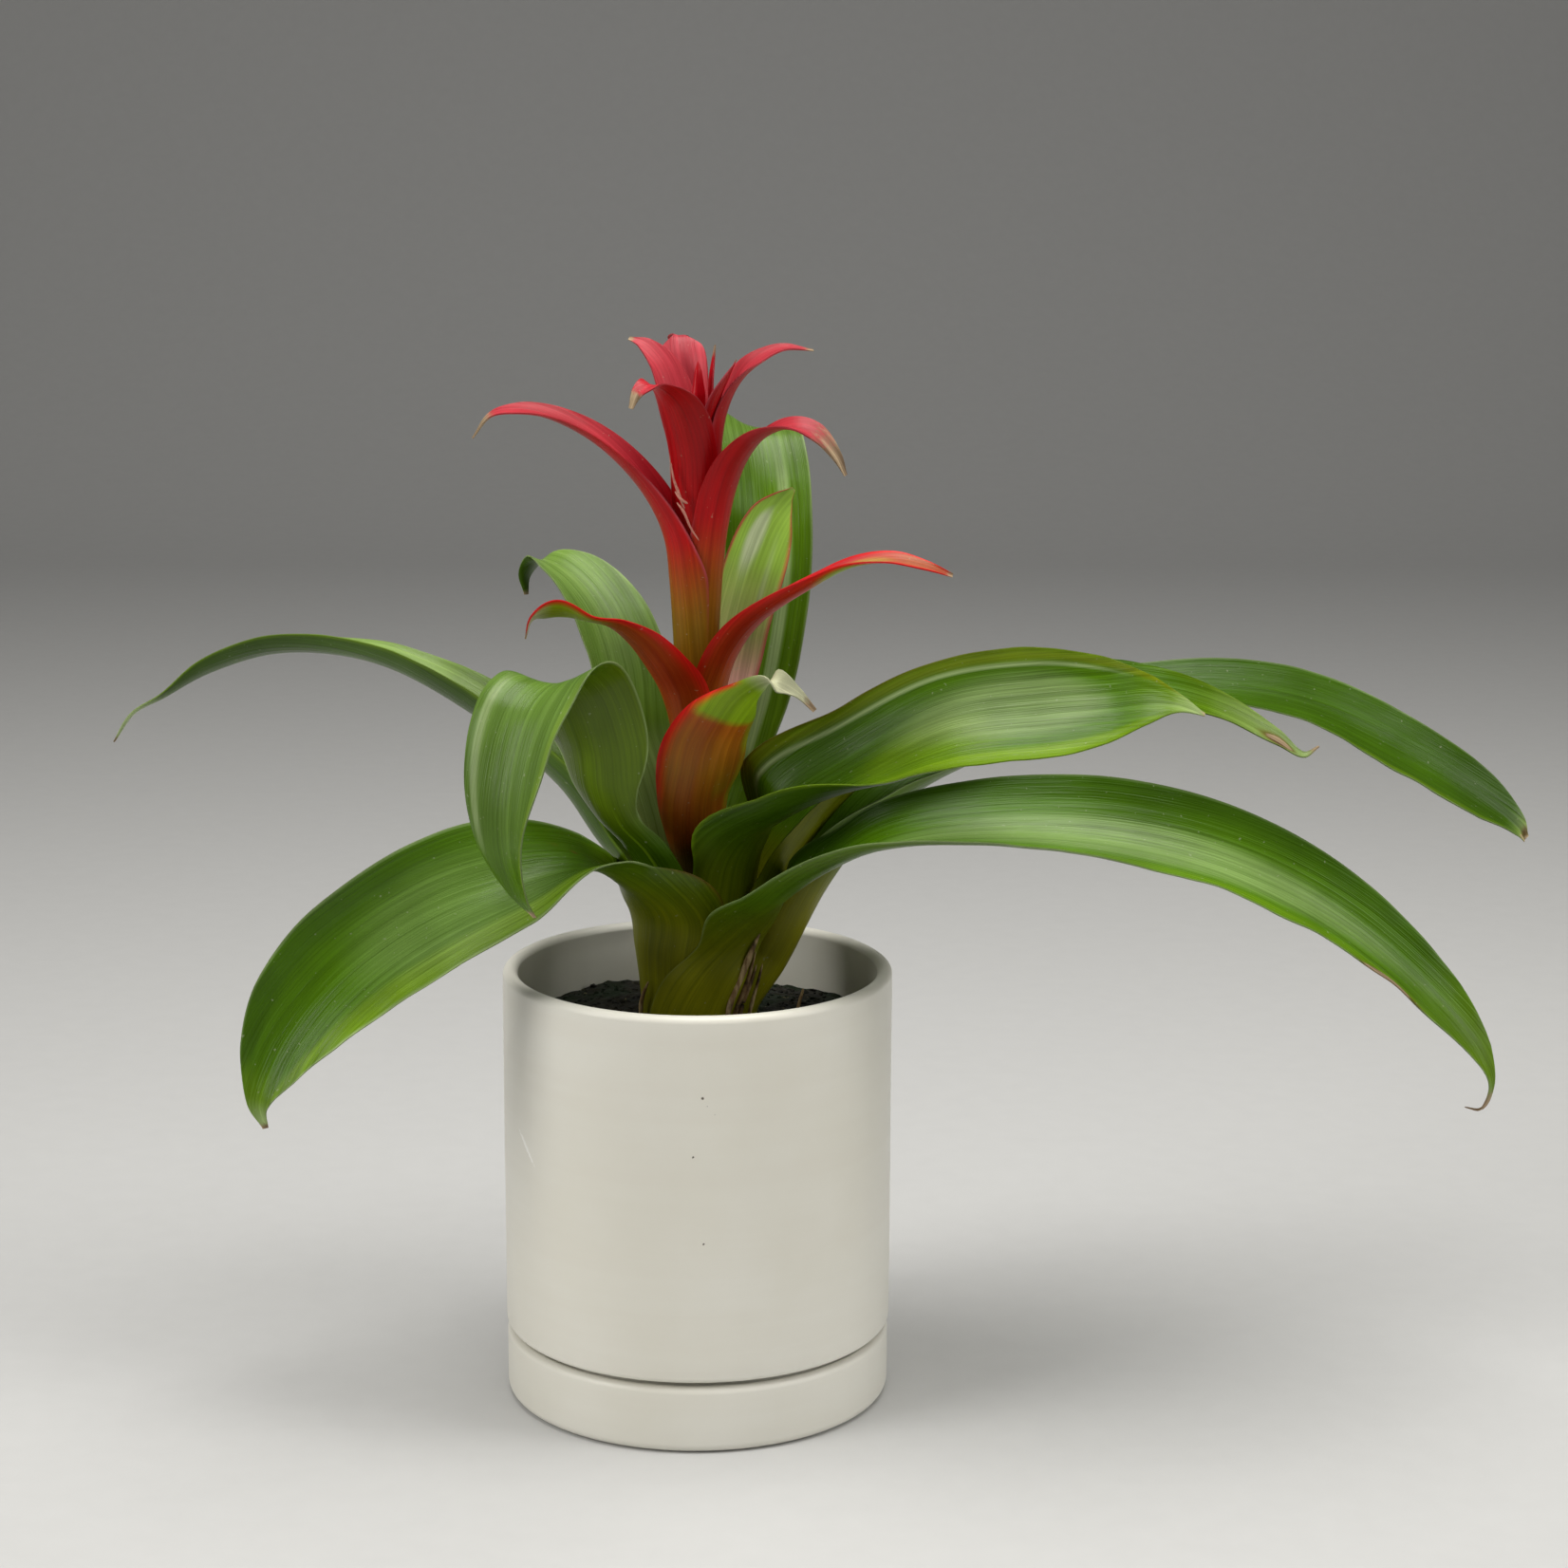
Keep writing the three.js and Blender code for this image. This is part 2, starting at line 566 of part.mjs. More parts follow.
// Assembly
addMesh('saucer', saucerGeometry(), COLOURS.ceramic, 0.45);
addMesh('pot', potGeometry(), COLOURS.ceramic, 0.45);
addMesh('potting_mix', soilGeometry(), COLOURS.soil, 0.95);
addMesh('flower_stalk', stalkGeometry(), COLOURS.stalk, 0.5);
LEAVES.forEach((leaf, layer) => {
  addBlade(leaf.name, leafStations(leaf, layer), LEAF_THICKNESS, COLOURS.leaf);
});
for (const bract of BRACTS) {
  const colour = bract.name === 'bract_back_pale' ? COLOURS.paleBract : COLOURS.bract;
  addBlade(bract.name, bractStations(bract), BRACT_THICKNESS, colour);
}
addMesh('flower_bud', budGeometry(), COLOURS.bract, 0.4);

export default group;
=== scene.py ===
"""Looks of the potted guzmania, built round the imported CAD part.

Blades repeat the stations of the CAD solids, as finer sheets with folds, curled margins
and dried tips. A few margins and tips are shaped a little further than in the solids.
Lengths in the tables are millimetres, in the frame of the CAD part.
"""

import math

import bpy
import numpy as np
from mathutils import Matrix, Vector, noise


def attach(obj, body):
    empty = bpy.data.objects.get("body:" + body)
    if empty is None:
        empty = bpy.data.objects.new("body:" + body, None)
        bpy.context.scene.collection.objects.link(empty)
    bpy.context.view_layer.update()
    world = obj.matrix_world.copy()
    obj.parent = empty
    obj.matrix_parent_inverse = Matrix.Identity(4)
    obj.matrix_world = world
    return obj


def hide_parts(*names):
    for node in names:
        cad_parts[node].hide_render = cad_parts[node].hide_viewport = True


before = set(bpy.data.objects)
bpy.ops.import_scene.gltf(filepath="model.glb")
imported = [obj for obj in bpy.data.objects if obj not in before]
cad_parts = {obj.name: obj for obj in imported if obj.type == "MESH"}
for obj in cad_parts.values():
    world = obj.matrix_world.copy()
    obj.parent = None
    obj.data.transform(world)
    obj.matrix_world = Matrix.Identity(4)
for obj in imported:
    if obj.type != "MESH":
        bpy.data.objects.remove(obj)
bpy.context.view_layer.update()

MM = 0.001
BODY = "root"

# Pot and saucer, as in the CAD part
POT_RADIUS = 65
POT_WALL = 5
POT_TOP = 146.4
POT_LIP = 2.4
POT_EDGE = 1.8
POT_STEP = 24
POT_FOOT_RADIUS = 59
POT_BOTTOM = 5.3
POT_FLOOR = 6
DRAIN_RADIUS = 7
SAUCER_RADIUS = 64.6
SAUCER_WALL = 4.6
SAUCER_HEIGHT = 22.3
SAUCER_FLOOR = 5
SAUCER_EDGE = 3

# How finely the round pieces are built
TURN_SIDES = 192
STALK_SIDES = 64
BUD_SIDES = 60
BUD_RINGS = 60
LITTER_SIDES = 10
SKIN_SIDES = 8
TUBE_RINGS = 8
POT_SPAN = 6
STALK_SPAN = 4

# Potting mix, as in the CAD part
CLEARANCE = 0.3
SOIL_TOP = 126
SOIL_CROWN = 1.5
POCKET_RADIUS = 23
POCKET_FLOOR = 117
STUMP_RADIUS = 14
STUMP_BOTTOM = 70

# Rosette and flower stem, as in the CAD part
LEAF_THICKNESS = 0.8
BRACT_THICKNESS = 0.7
MARGIN_THICKNESS = 0.3
OUTER_FOOT_RADIUS = 20.5
OUTER_FOOT_HEIGHT = 119
LAYER_PITCH = 1.25
LAYER_RISE = 2.6
LEAF_COUNT = 9
FLARE_HEIGHT = 31.6
FRONT_FLARE = 2.2
LONG_SHEATH = 30
STALK_FOOT_RADIUS = 7
STALK_FOOT_HEIGHT = 165
STALK_TAPER = 0.042
STALK_TOP = 303
BRACT_FLARE = 0.055
BUD_TOP = 347
BUD_RADIUS = 2.4

# How the sheets are built
DIRECTION_STEP = 0.002
RUN_SAMPLES = 1200
TIP_CROWDING = 0.09
LEAST_ROWS = 12
LEAST_CUP = 5
LEAST_HALF = 0.5
LONG_RIPPLE = 21
SHORT_RIPPLE = 13
UV_UNIT = 100
LEAF_ROW = 1.3
LEAF_COLUMNS = 40
LEAF_RIPPLE = 0.5
BRACT_ROW = 0.9
BRACT_COLUMNS = 30
BRACT_RIPPLE = 0.25
BRACT_SEED = 20
SHEET_TRIM = 0.2
LEAST_THICKNESS = 0.15
ALL_ALONG = {-9: 1, 20: 1}
TINTS = ("olive", "lime", "pale", "cream", "deep", "red", "brown", "dry")

# Loose soil
SOIL_RINGS = 46
CRUMB_COUNT = 900
CRUMB_SEED = 11
CRUMB_SMALL = 0.5
CRUMB_LARGE = 1.5
CRUMB_POCKET_GAP = 1.5
CRUMB_WALL_GAP = 2.5

# Dry strips on the foot of the plant: degrees round it, height and radius of each point
STRIP_LIFT = 0.5
DRY_STRIPS = [
    [(-64, 130, 0.6), (-61, 138, 1.1), (-52, 146, 0.9), (-46, 152, 1.1), (-38, 159, 0.6),
     (-33, 163, 0.3)],
    [(-58, 130, 0.5), (-54, 136, 0.8), (-47, 142, 1.0), (-41, 148, 0.6), (-37, 155, 0.3)],
    [(-51, 130, 0.6), (-48, 137, 0.9), (-39, 144, 0.7), (-33, 150, 0.3)],
    [(-40, 129, 0.5), (-35, 136, 0.7), (-27, 143, 0.5), (-21, 149, 0.3)],
    [(-153, 129, 0.6), (-150, 136, 0.8), (-143, 141, 0.6), (-136, 145, 0.3)],
]
# Loose bits: points and radii
TWIG = [(33, -6, 126, 0.8), (33.4, -8, 134, 0.6), (35, -10, 141, 0.4)]
TORN_SKIN = [
    [(-8.6, -8.2, 315, 0.2), (-7.8, -9.6, 310, 0.35), (-6.4, -10, 306, 0.5), (-4.2, -10.2, 300, 0.3)],
    [(-7.4, -9.4, 306, 0.3), (-5.4, -10.8, 303.5, 0.5), (-3.2, -10.6, 302, 0.3)],
    [(-6.8, -9.8, 302.5, 0.25), (-4.6, -10.6, 299.5, 0.45), (-2.2, -10.2, 294, 0.3),
     (0.4, -9.9, 290, 0.2)],
]

# Marks on the pot: specks as x, z and size, and one scratch
SCRATCH_PLACE = (-56, -31, 93.5)
SCRATCH_LEAN = -28
SCRATCH_WIDE = 0.5
SCRATCH_LONG = 6.5
POT_SPECKS = [(1.5, 120, 0.7), (5.4, 114.6, 0.5), (-1.5, 100.5, 0.55), (1.8, 71.5, 0.6),
              (3, 117.4, 0.3)]

# Colours, as linear red, green and blue. A pair is the two ends of a mottle.
GLAZE = (0.74, 0.72, 0.64), (0.78, 0.765, 0.7)
GLAZE_RING = (0.7, 0.665, 0.585)
SPECK_COLOUR = (0.1, 0.08, 0.06)
SCRATCH_COLOUR = (0.95, 0.94, 0.9)
PEAT = (0.004, 0.004, 0.002), (0.016, 0.014, 0.007)
MOSS = (0.006, 0.016, 0.004)
PEAT_BITS = (0.16, 0.14, 0.07)
STALK = (0.26, 0.2, 0.04), (0.16, 0.035, 0.012)
STALK_CLOUD = (0.2, 0.22, 0.05)
TORN = (0.62, 0.3, 0.22), (0.3, 0.05, 0.04)
LITTER = (0.55, 0.4, 0.2), (0.2, 0.11, 0.04)
LITTER_BLOTCH = (0.045, 0.025, 0.012)
DRY_BLADE = (0.42, 0.31, 0.19), (0.07, 0.035, 0.015)
DUST = (0.4, 0.42, 0.3)
FLOOR = (0.54, 0.54, 0.54), (0.57, 0.57, 0.57)

# How far the broad streaks break up the edge of a tint
TINT_STREAK = 1.44

# Floor in metres: half its width, front edge, backdrop, its height and the bend before it
FLOOR_WIDE = 6
FLOOR_FRONT = -3
FLOOR_BACK = 3.2
FLOOR_RISE = 3.5
FLOOR_BEND = 1.2
FLOOR_BEND_STEPS = 24
FLOOR_DROP = 0.0002

# Light: each lamp's name, place, target and size in metres, and power in watts
LAMPS = [
    ("light_top", (0.1, -0.1, 1.5), (0, 0, 0.15), (1.1, 0.9), 22),
    ("light_left", (-1.3, -0.7, 0.9), (0, 0, 0.18), (0.7, 1.1), 13.5),
    ("light_right", (1.4, -0.5, 0.8), (0, 0, 0.15), (0.6, 1.1), 10),
]
LAMP_COLOUR = (1, 0.985, 0.94)
SKY_COLOUR = (0.86, 0.85, 0.81, 1)
SKY_STRENGTH = 0.14

# Camera: where the photograph was taken from, in millimetres and degrees
CAMERA_DISTANCE = 1055.1
CAMERA_HEIGHT = 428.9
CAMERA_PITCH = 11.822
CAMERA_YAW = 1.543
CAMERA_ROLL = 0.315
CAMERA_LENS = 75
SENSOR_WIDTH = 36


# Meshes

def clamp(value, low=0.0, high=1.0):
    return np.minimum(np.maximum(value, low), high)


def smooth(value, low, high):
    """0 below low, 1 above high, and a soft step between; low may be the larger."""
    t = clamp((value - low) / (high - low))
    return t * t * (3 - 2 * t)


def linked(name, data):
    piece = bpy.data.objects.new(name, data)
    bpy.context.scene.collection.objects.link(piece)
    return piece


def add_mesh(name, points, faces, material, attributes=None, uv=None, sharp=40):
    """A mesh object from points in millimetres."""
    mesh = bpy.data.meshes.new(name)
    mesh.from_pydata((np.asarray(points) * MM).tolist(), [], faces)
    mesh.update()
    for key, values in (attributes or {}).items():
        layer = mesh.attributes.new(key, "FLOAT", "POINT")
        layer.data.foreach_set("value", np.asarray(values, np.float32))
    if uv is not None:
        layer = mesh.uv_layers.new(name="blade")
        loops = np.zeros(len(mesh.loops), np.int32)
        mesh.loops.foreach_get("vertex_index", loops)
        layer.data.foreach_set("uv", np.asarray(uv, np.float32)[loops].ravel())
    mesh.shade_smooth()
    mesh.set_sharp_from_angle(angle=math.radians(sharp))
    mesh.materials.append(material)
    return linked(name, mesh)


def own(piece, slot, *nodes):
    """Fixes a piece to the body and hides the CAD nodes it replaces. The slot is not used."""
    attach(piece, BODY)
    if nodes:
        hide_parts(*nodes)


def polar(radius, degrees):
    angle = math.radians(degrees)
    return radius * math.cos(angle), radius * math.sin(angle)


def arc(centre_x, centre_y, radius, start, end, steps):
    angles = np.radians(np.linspace(start, end, steps + 1))
    return [(centre_x + radius * math.cos(a), centre_y + radius * math.sin(a)) for a in angles]


def finer(profile, longest):
    """The profile with points added, so that no span is longer than the given length."""
    points = []
    for (r0, z0), (r1, z1) in zip(profile[:-1], profile[1:]):
        parts = max(1, math.ceil(math.hypot(r1 - r0, z1 - z0) / longest))
        for k in range(parts):
            points.append((r0 + (r1 - r0) * k / parts, z0 + (z1 - z0) * k / parts))
    points.append(profile[-1])
    return points


def turned(name, profile, sides, material, shape=None, closed=False, sharp=40):
    """Turns a profile of (radius, height) points round the Z axis. Radius 0 is one point."""
    points = []
    rings = []
    for radius, height in profile:
        if radius == 0:
            rings.append([len(points)] * sides)
            points.append((0.0, 0.0, height))
            continue
        start = len(points)
        for k in range(sides):
            angle = 2 * math.pi * k / sides
            points.append((radius * math.cos(angle), radius * math.sin(angle), height))
        rings.append(list(range(start, start + sides)))
    if closed:
        rings.append(rings[0])
    faces = []
    for low, high in zip(rings[:-1], rings[1:]):
        for k in range(sides):
            n = (k + 1) % sides
            corners = list(dict.fromkeys((low[k], low[n], high[n], high[k])))
            if len(corners) > 2:
                faces.append(corners)
    points = np.array(points, float)
    if shape:
        points = shape(points)
    return add_mesh(name, points, faces, material, sharp=sharp)


# Node materials

class Paint:
    """A node material with one Principled shader, and short ways to add nodes to it."""

    def __init__(self, name):
        self.material = bpy.data.materials.new(name)
        self.material.use_nodes = True
        self.tree = self.material.node_tree
        self.tree.nodes.clear()
        self.shader = self.tree.nodes.new("ShaderNodeBsdfPrincipled")
        output = self.tree.nodes.new("ShaderNodeOutputMaterial")
        self.tree.links.new(self.shader.outputs[0], output.inputs[0])

    def plug(self, socket, value):
        if isinstance(value, bpy.types.NodeSocket):
            self.tree.links.new(value, socket)
        elif isinstance(value, (tuple, list)) and len(value) == 3 and socket.type == "RGBA":
            socket.default_value = (*value, 1)
        else:
            socket.default_value = value

    def add(self, kind, inputs=None, **settings):
        node = self.tree.nodes.new(kind)
        for key, value in settings.items():
            setattr(node, key, value)
        for key, value in (inputs or {}).items():
            self.plug(node.inputs[key], value)
        return node

    def finish(self, **values):
        """Sets the shader's inputs and gives the material."""
        for key, value in values.items():
            self.plug(self.shader.inputs[key.replace("_", " ")], value)
        return self.material

    def mix(self, factor, a, b, blend="MIX"):
        node = self.add("ShaderNodeMix", {0: factor, 6: a, 7: b}, data_type="RGBA", blend_type=blend)
        return node.outputs[2]

    def math(self, operation, a, b=0.0, limit=False):
        return self.add("ShaderNodeMath", {0: a, 1: b}, operation=operation,
                        use_clamp=limit).outputs[0]

    def attribute(self, name):
        return self.add("ShaderNodeAttribute", attribute_name=name).outputs["Fac"]

    def plus(self, base, value, share, limit=False):
        """The base plus a share of the value, held between 0 and 1 if limit is set."""
        return self.math("ADD", base, self.math("MULTIPLY", value, share), limit)

    def remap(self, value, low, high, to_low=0.0, to_high=1.0):
        inputs = {"Value": value, "From Min": low, "From Max": high, "To Min": to_low, "To Max": to_high}
        return self.add("ShaderNodeMapRange", inputs, interpolation_type="SMOOTHSTEP").outputs[0]

    def shift(self, value, low, high, a, b, most=1.0):
        """Colour a, going over to colour b (to this share at most) as the value passes low to high."""
        return self.mix(self.remap(value, low, high, 0.0, most), a, b)

    def noise(self, vector, scale, detail=3.0, roughness=0.5, distortion=0.0):
        inputs = {"Vector": vector, "Scale": scale, "Detail": detail, "Roughness": roughness,
                  "Distortion": distortion}
        return self.add("ShaderNodeTexNoise", inputs).outputs[0]

    def drawn(self, vector, scale, detail=3.0, roughness=0.6, distortion=0.0):
        """Noise drawn out into streaks: scale is one number per axis."""
        stretched = self.add("ShaderNodeMapping", {"Vector": vector, "Scale": scale}).outputs[0]
        return self.noise(stretched, 1, detail, roughness, distortion)

    def place(self):
        return self.add("ShaderNodeTexCoord").outputs["Object"]

    def bump(self, height, distance, strength=1.0):
        inputs = {"Height": height, "Distance": distance, "Strength": strength}
        return self.add("ShaderNodeBump", inputs).outputs[0]


def blade_paint(name, fresh, under, gloss, **tints):
    """A leaf or bract. Lengthwise streaks over the colour of the inner face (fresh) and the
    outer face (under), and tints shown by the mesh attributes of the same name."""
    paint = Paint(name)
    along = paint.add("ShaderNodeUVMap", uv_map="blade").outputs[0]
    place = paint.place()
    face = paint.attribute("face")
    fine = paint.drawn(along, (120, 1.4, 1))
    broad = paint.drawn(along, (34, 0.8, 1), distortion=0.3)
    veins = paint.drawn(along, (300, 3, 1), 2, 0.5)
    cloud = paint.noise(place, 20, 3, 0.55)
    grain = paint.drawn(along, (260, 60, 1), 2, 0.5)

    colour = paint.mix(face, fresh, under)
    uneven = paint.math("SUBTRACT", broad, 0.5)
    for key, tint in tints.items():
        share = paint.attribute(key)
        loose = paint.math("MULTIPLY", share, paint.math("SUBTRACT", 1.0, share))
        share = paint.plus(share, uneven, paint.math("MULTIPLY", loose, TINT_STREAK), True)
        colour = paint.mix(share, colour, tint)
    for value, low, high in ((fine, 0.86, 1.16), (broad, 0.88, 1.14), (cloud, 0.8, 1.2)):
        shade = paint.remap(value, 0.3, 0.72, low, high)
        colour = paint.mix(1.0, colour, shade, "MULTIPLY")
    dry = paint.attribute("dry")
    ragged = paint.plus(dry, paint.math("SUBTRACT", grain, 0.5), 0.5)
    dry = paint.math("MULTIPLY", paint.remap(ragged, 0.3, 0.7), paint.remap(dry, 0.02, 0.2))
    colour = paint.mix(dry, colour, paint.shift(broad, 0.35, 0.7, *DRY_BLADE))
    colour = paint.shift(paint.noise(place, 700, 1), 0.74, 0.78, colour, DUST, 0.3)

    rough = paint.plus(paint.remap(fine, 0.3, 0.75, gloss, gloss + 0.14), face, 0.05)
    rough = paint.plus(rough, dry, 0.35, True)
    height = paint.plus(paint.plus(broad, fine, 0.5), veins, 0.35)
    return paint.finish(Base_Color=colour, Roughness=rough, Specular_IOR_Level=0.2,
                        Normal=paint.bump(height, 0.0003))


leaf_material = blade_paint(
    "leaf", fresh=(0.058, 0.14, 0.001), under=(0.048, 0.105, 0.001), gloss=0.24,
    olive=(0.26, 0.25, 0.004), deep=(0.022, 0.06, 0.001), lime=(0.16, 0.27, 0.008),
    pale=(0.4, 0.5, 0.24), cream=(0.5, 0.5, 0.34), red=(0.12, 0.04, 0.006), brown=(0.12, 0.075, 0.008))
bract_material = blade_paint(
    "bract", fresh=(0.4, 0.001, 0.007), under=(0.38, 0.001, 0.003), gloss=0.3,
    olive=(0.22, 0.14, 0.006), lime=(0.2, 0.32, 0.008), pale=(0.4, 0.06, 0.08),
    cream=(0.5, 0.48, 0.36), deep=(0.2, 0.002, 0.006), red=(0.6, 0.003, 0.006),
    brown=(0.05, 0.035, 0.006))
pale_bract_material = blade_paint(
    "pale_bract", fresh=(0.26, 0.46, 0.05), under=(0.22, 0.34, 0.05), gloss=0.32,
    lime=(0.3, 0.46, 0.07), olive=(0.16, 0.2, 0.02), pale=(0.78, 0.42, 0.38),
    cream=(0.6, 0.62, 0.5), red=(0.42, 0.03, 0.04), deep=(0.08, 0.14, 0.01), brown=(0.25, 0.12, 0.05))


def ceramic_paint():
    """Off-white satin glaze with a faint mottle, a few dark specks and one light scratch."""
    paint = Paint("ceramic")
    place = paint.place()
    mottle = paint.noise(place, 14, 4, 0.55)
    grain = paint.noise(place, 700, 2)
    colour = paint.shift(mottle, 0.3, 0.7, *GLAZE)
    colour = paint.shift(paint.drawn(place, (4, 4, 130)), 0.35, 0.7, colour, GLAZE_RING, 0.2)
    for x, z, size in POT_SPECKS:
        offset = paint.add("ShaderNodeVectorMath", {0: place, 1: (x * MM, -POT_RADIUS * MM, z * MM)},
                           operation="DISTANCE").outputs["Value"]
        offset = paint.plus(offset, paint.noise(place, 1600, 2), size * MM)
        colour = paint.shift(offset, size * MM * 1.35, size * MM * 0.9, colour, SPECK_COLOUR)
    line = paint.add("ShaderNodeMapping", {"Vector": place, "Location": Vector(SCRATCH_PLACE) * MM,
                                           "Rotation": (0, math.radians(SCRATCH_LEAN), 0)},
                     vector_type="TEXTURE").outputs[0]
    spread = (1 / SCRATCH_WIDE / MM, 0, 1 / SCRATCH_LONG / MM)
    spread = paint.add("ShaderNodeVectorMath", {0: line, 1: spread}, operation="MULTIPLY").outputs[0]
    offset = paint.add("ShaderNodeVectorMath", {0: spread}, operation="LENGTH").outputs["Value"]
    offset = paint.math("ADD", offset, paint.noise(place, 900, 2))
    front = paint.remap(paint.add("ShaderNodeSeparateXYZ", {0: place}).outputs[1], -0.02, -0.03)
    scratch = paint.math("MULTIPLY", paint.remap(offset, 1.5, 1.1, 0, 0.85), front)
    return paint.finish(Base_Color=paint.mix(scratch, colour, SCRATCH_COLOUR),
                        Roughness=paint.remap(mottle, 0.3, 0.7, 0.36, 0.46),
                        Normal=paint.bump(paint.plus(mottle, grain, 0.05), 0.0004, 0.5))


def soil_paint():
    """Dark crumbs with moss between them and a few light bits."""
    paint = Paint("potting_mix")
    place = paint.place()
    crumbs = paint.noise(place, 260, 4, 0.6)
    colour = paint.shift(crumbs, 0.35, 0.7, *PEAT)
    colour = paint.shift(paint.noise(place, 60, 3, 0.6), 0.42, 0.6, colour, MOSS, 0.8)
    colour = paint.shift(paint.noise(place, 420, 1), 0.71, 0.75, colour, PEAT_BITS, 0.8)
    return paint.finish(Base_Color=colour, Roughness=paint.remap(crumbs, 0.3, 0.7, 0.6, 0.95),
                        Specular_IOR_Level=0.25, Normal=paint.bump(crumbs, 0.001))


def stem_paint():
    """Olive-yellow stalk with red-brown lengthwise streaks and paler green clouds."""
    paint = Paint("stalk")
    place = paint.place()
    streaks = paint.drawn(place, (420, 420, 12))
    colour = paint.shift(streaks, 0.35, 0.62, *STALK)
    colour = paint.shift(paint.noise(place, 60), 0.35, 0.7, colour, STALK_CLOUD, 0.5)
    return paint.finish(Base_Color=colour, Roughness=paint.remap(streaks, 0.3, 0.7, 0.38, 0.55),
                        Normal=paint.bump(streaks, 0.0002))


def torn_paint():
    """The dried pink skin along torn bract margins."""
    paint = Paint("torn_skin")
    fibres = paint.noise(paint.place(), 700, 3, 0.6)
    return paint.finish(Base_Color=paint.mix(fibres, *TORN), Roughness=0.6)


def litter_paint():
    """The dry strips and the twig."""
    paint = Paint("dry_litter")
    place = paint.place()
    fibres = paint.drawn(place, (500, 500, 45), 3, 0.65)
    colour = paint.shift(fibres, 0.35, 0.65, *LITTER)
    colour = paint.shift(paint.noise(place, 130, 3, 0.6), 0.5, 0.68, colour, LITTER_BLOTCH)
    return paint.finish(Base_Color=colour, Roughness=paint.remap(fibres, 0.3, 0.7, 0.6, 0.85),
                        Normal=paint.bump(fibres, 0.0004))


ceramic_material = ceramic_paint()
soil_material = soil_paint()
stem_material = stem_paint()
litter_material = litter_paint()
torn_material = torn_paint()


# Blades

def blade_run(middles):
    """Centripetal Catmull-Rom curve through the stations, as three.js draws it."""
    last = len(middles) - 1
    ahead = 2 * middles[-1] - middles[-2]
    behind = 2 * middles[0] - middles[1]
    padded = np.vstack([behind, middles, ahead])

    def point(position):
        index = np.minimum(np.floor(clamp(position, 0, last)).astype(int), last - 1)
        t = (clamp(position, 0, last) - index)[:, None]
        p0, p1, p2, p3 = (padded[index + k] for k in range(4))
        spans = (p0, p1), (p1, p2), (p2, p3)
        d0, d1, d2 = (((b - a) ** 2).sum(1)[:, None] ** 0.25 for a, b in spans)
        m1 = ((p1 - p0) / d0 - (p2 - p0) / (d0 + d1) + (p2 - p1) / d1) * d1
        m2 = ((p2 - p1) / d1 - (p3 - p1) / (d1 + d2) + (p3 - p2) / d2) * d1
        return (p1 + m1 * t + (3 * (p2 - p1) - 2 * m1 - m2) * t ** 2
                + (2 * (p1 - p2) + m1 + m2) * t ** 3)

    return point


def smooth_value(values, position):
    """Catmull-Rom value between the stations."""
    last = len(values) - 1
    index = np.minimum(np.floor(position).astype(int), last - 1)
    t = position - index
    before, start, end, after = (values[np.clip(index + k, 0, last)] for k in (-1, 0, 1, 2))
    slope_start = (end - before) / 2
    slope_end = (after - start) / 2
    return ((2 * t ** 3 - 3 * t ** 2 + 1) * start + (t ** 3 - 2 * t ** 2 + t) * slope_start
            + (3 * t ** 2 - 2 * t ** 3) * end + (t ** 3 - t ** 2) * slope_end)


def unit(vectors):
    return vectors / np.linalg.norm(vectors, axis=-1, keepdims=True)


def wave(position, seed, spacing):
    """Smooth noise between about -1 and 1, one value per position. Each seed is another line
    through the noise."""
    flat = np.ravel(position)
    values = [noise.noise(Vector((p / spacing, seed * 7.31, seed * 3.17))) * 2 for p in flat]
    return np.array(values).reshape(np.shape(position))


def rows_along(middles, row):
    """Rows along the run through the stations, closer towards the tip: each one's place in
    the list of stations, distance along the run, middle point and direction."""
    last = len(middles) - 1
    point = blade_run(middles)
    dense = np.linspace(0, last, RUN_SAMPLES)
    lengths = np.linalg.norm(np.diff(point(dense), axis=0), axis=1)
    lengths = np.concatenate([[0], np.cumsum(lengths)])
    share = np.linspace(0, 1, max(LEAST_ROWS, int(lengths[-1] / row)) + 1)
    share = share + TIP_CROWDING * np.sin(np.pi * share) * share
    position = np.interp(share / share[-1] * lengths[-1], lengths, dense)
    ahead = DIRECTION_STEP * last
    along = unit(point(position + ahead) - point(position - ahead))
    return position, np.interp(position, dense, lengths), point(position), along


def section_axes(middle, along, roll, heading, level):
    """The sideways and inward directions of each section, and its distance from the stem's
    axis. Where level is 1 the section lies round the stem, and where it is 0 it is free."""
    heading = np.radians(heading)
    roll = np.radians(roll)[:, None]
    side = np.stack([-np.sin(heading), np.cos(heading), 0 * heading], 1)
    side = unit(side - along * (along * side).sum(1, keepdims=True))
    side = unit(side * np.cos(roll) + np.cross(along, side) * np.sin(roll))
    inward = np.cross(along, side)
    stem_inward = -middle * np.array([1, 1, 0])
    stem_distance = np.linalg.norm(stem_inward, axis=1)
    stem_inward = stem_inward / stem_distance[:, None]
    level_side = np.stack([stem_inward[:, 1], -stem_inward[:, 0], 0 * heading], 1)
    side = unit(side * (1 - level) + level_side * level)
    inward = inward * (1 - level) + stem_inward * level
    inward = unit(inward - side * (inward * side).sum(1, keepdims=True))
    return side, inward, stem_distance


def summed(slope):
    """How far a section runs out one way, measured from its middle column."""
    columns = slope.shape[1] - 1
    line = np.zeros_like(slope)
    line[:, 1:] = np.cumsum((slope[:, 1:] + slope[:, :-1]) / 2 * (2 / columns), axis=1)
    return (line - line[:, columns // 2][:, None])[:, :, None]


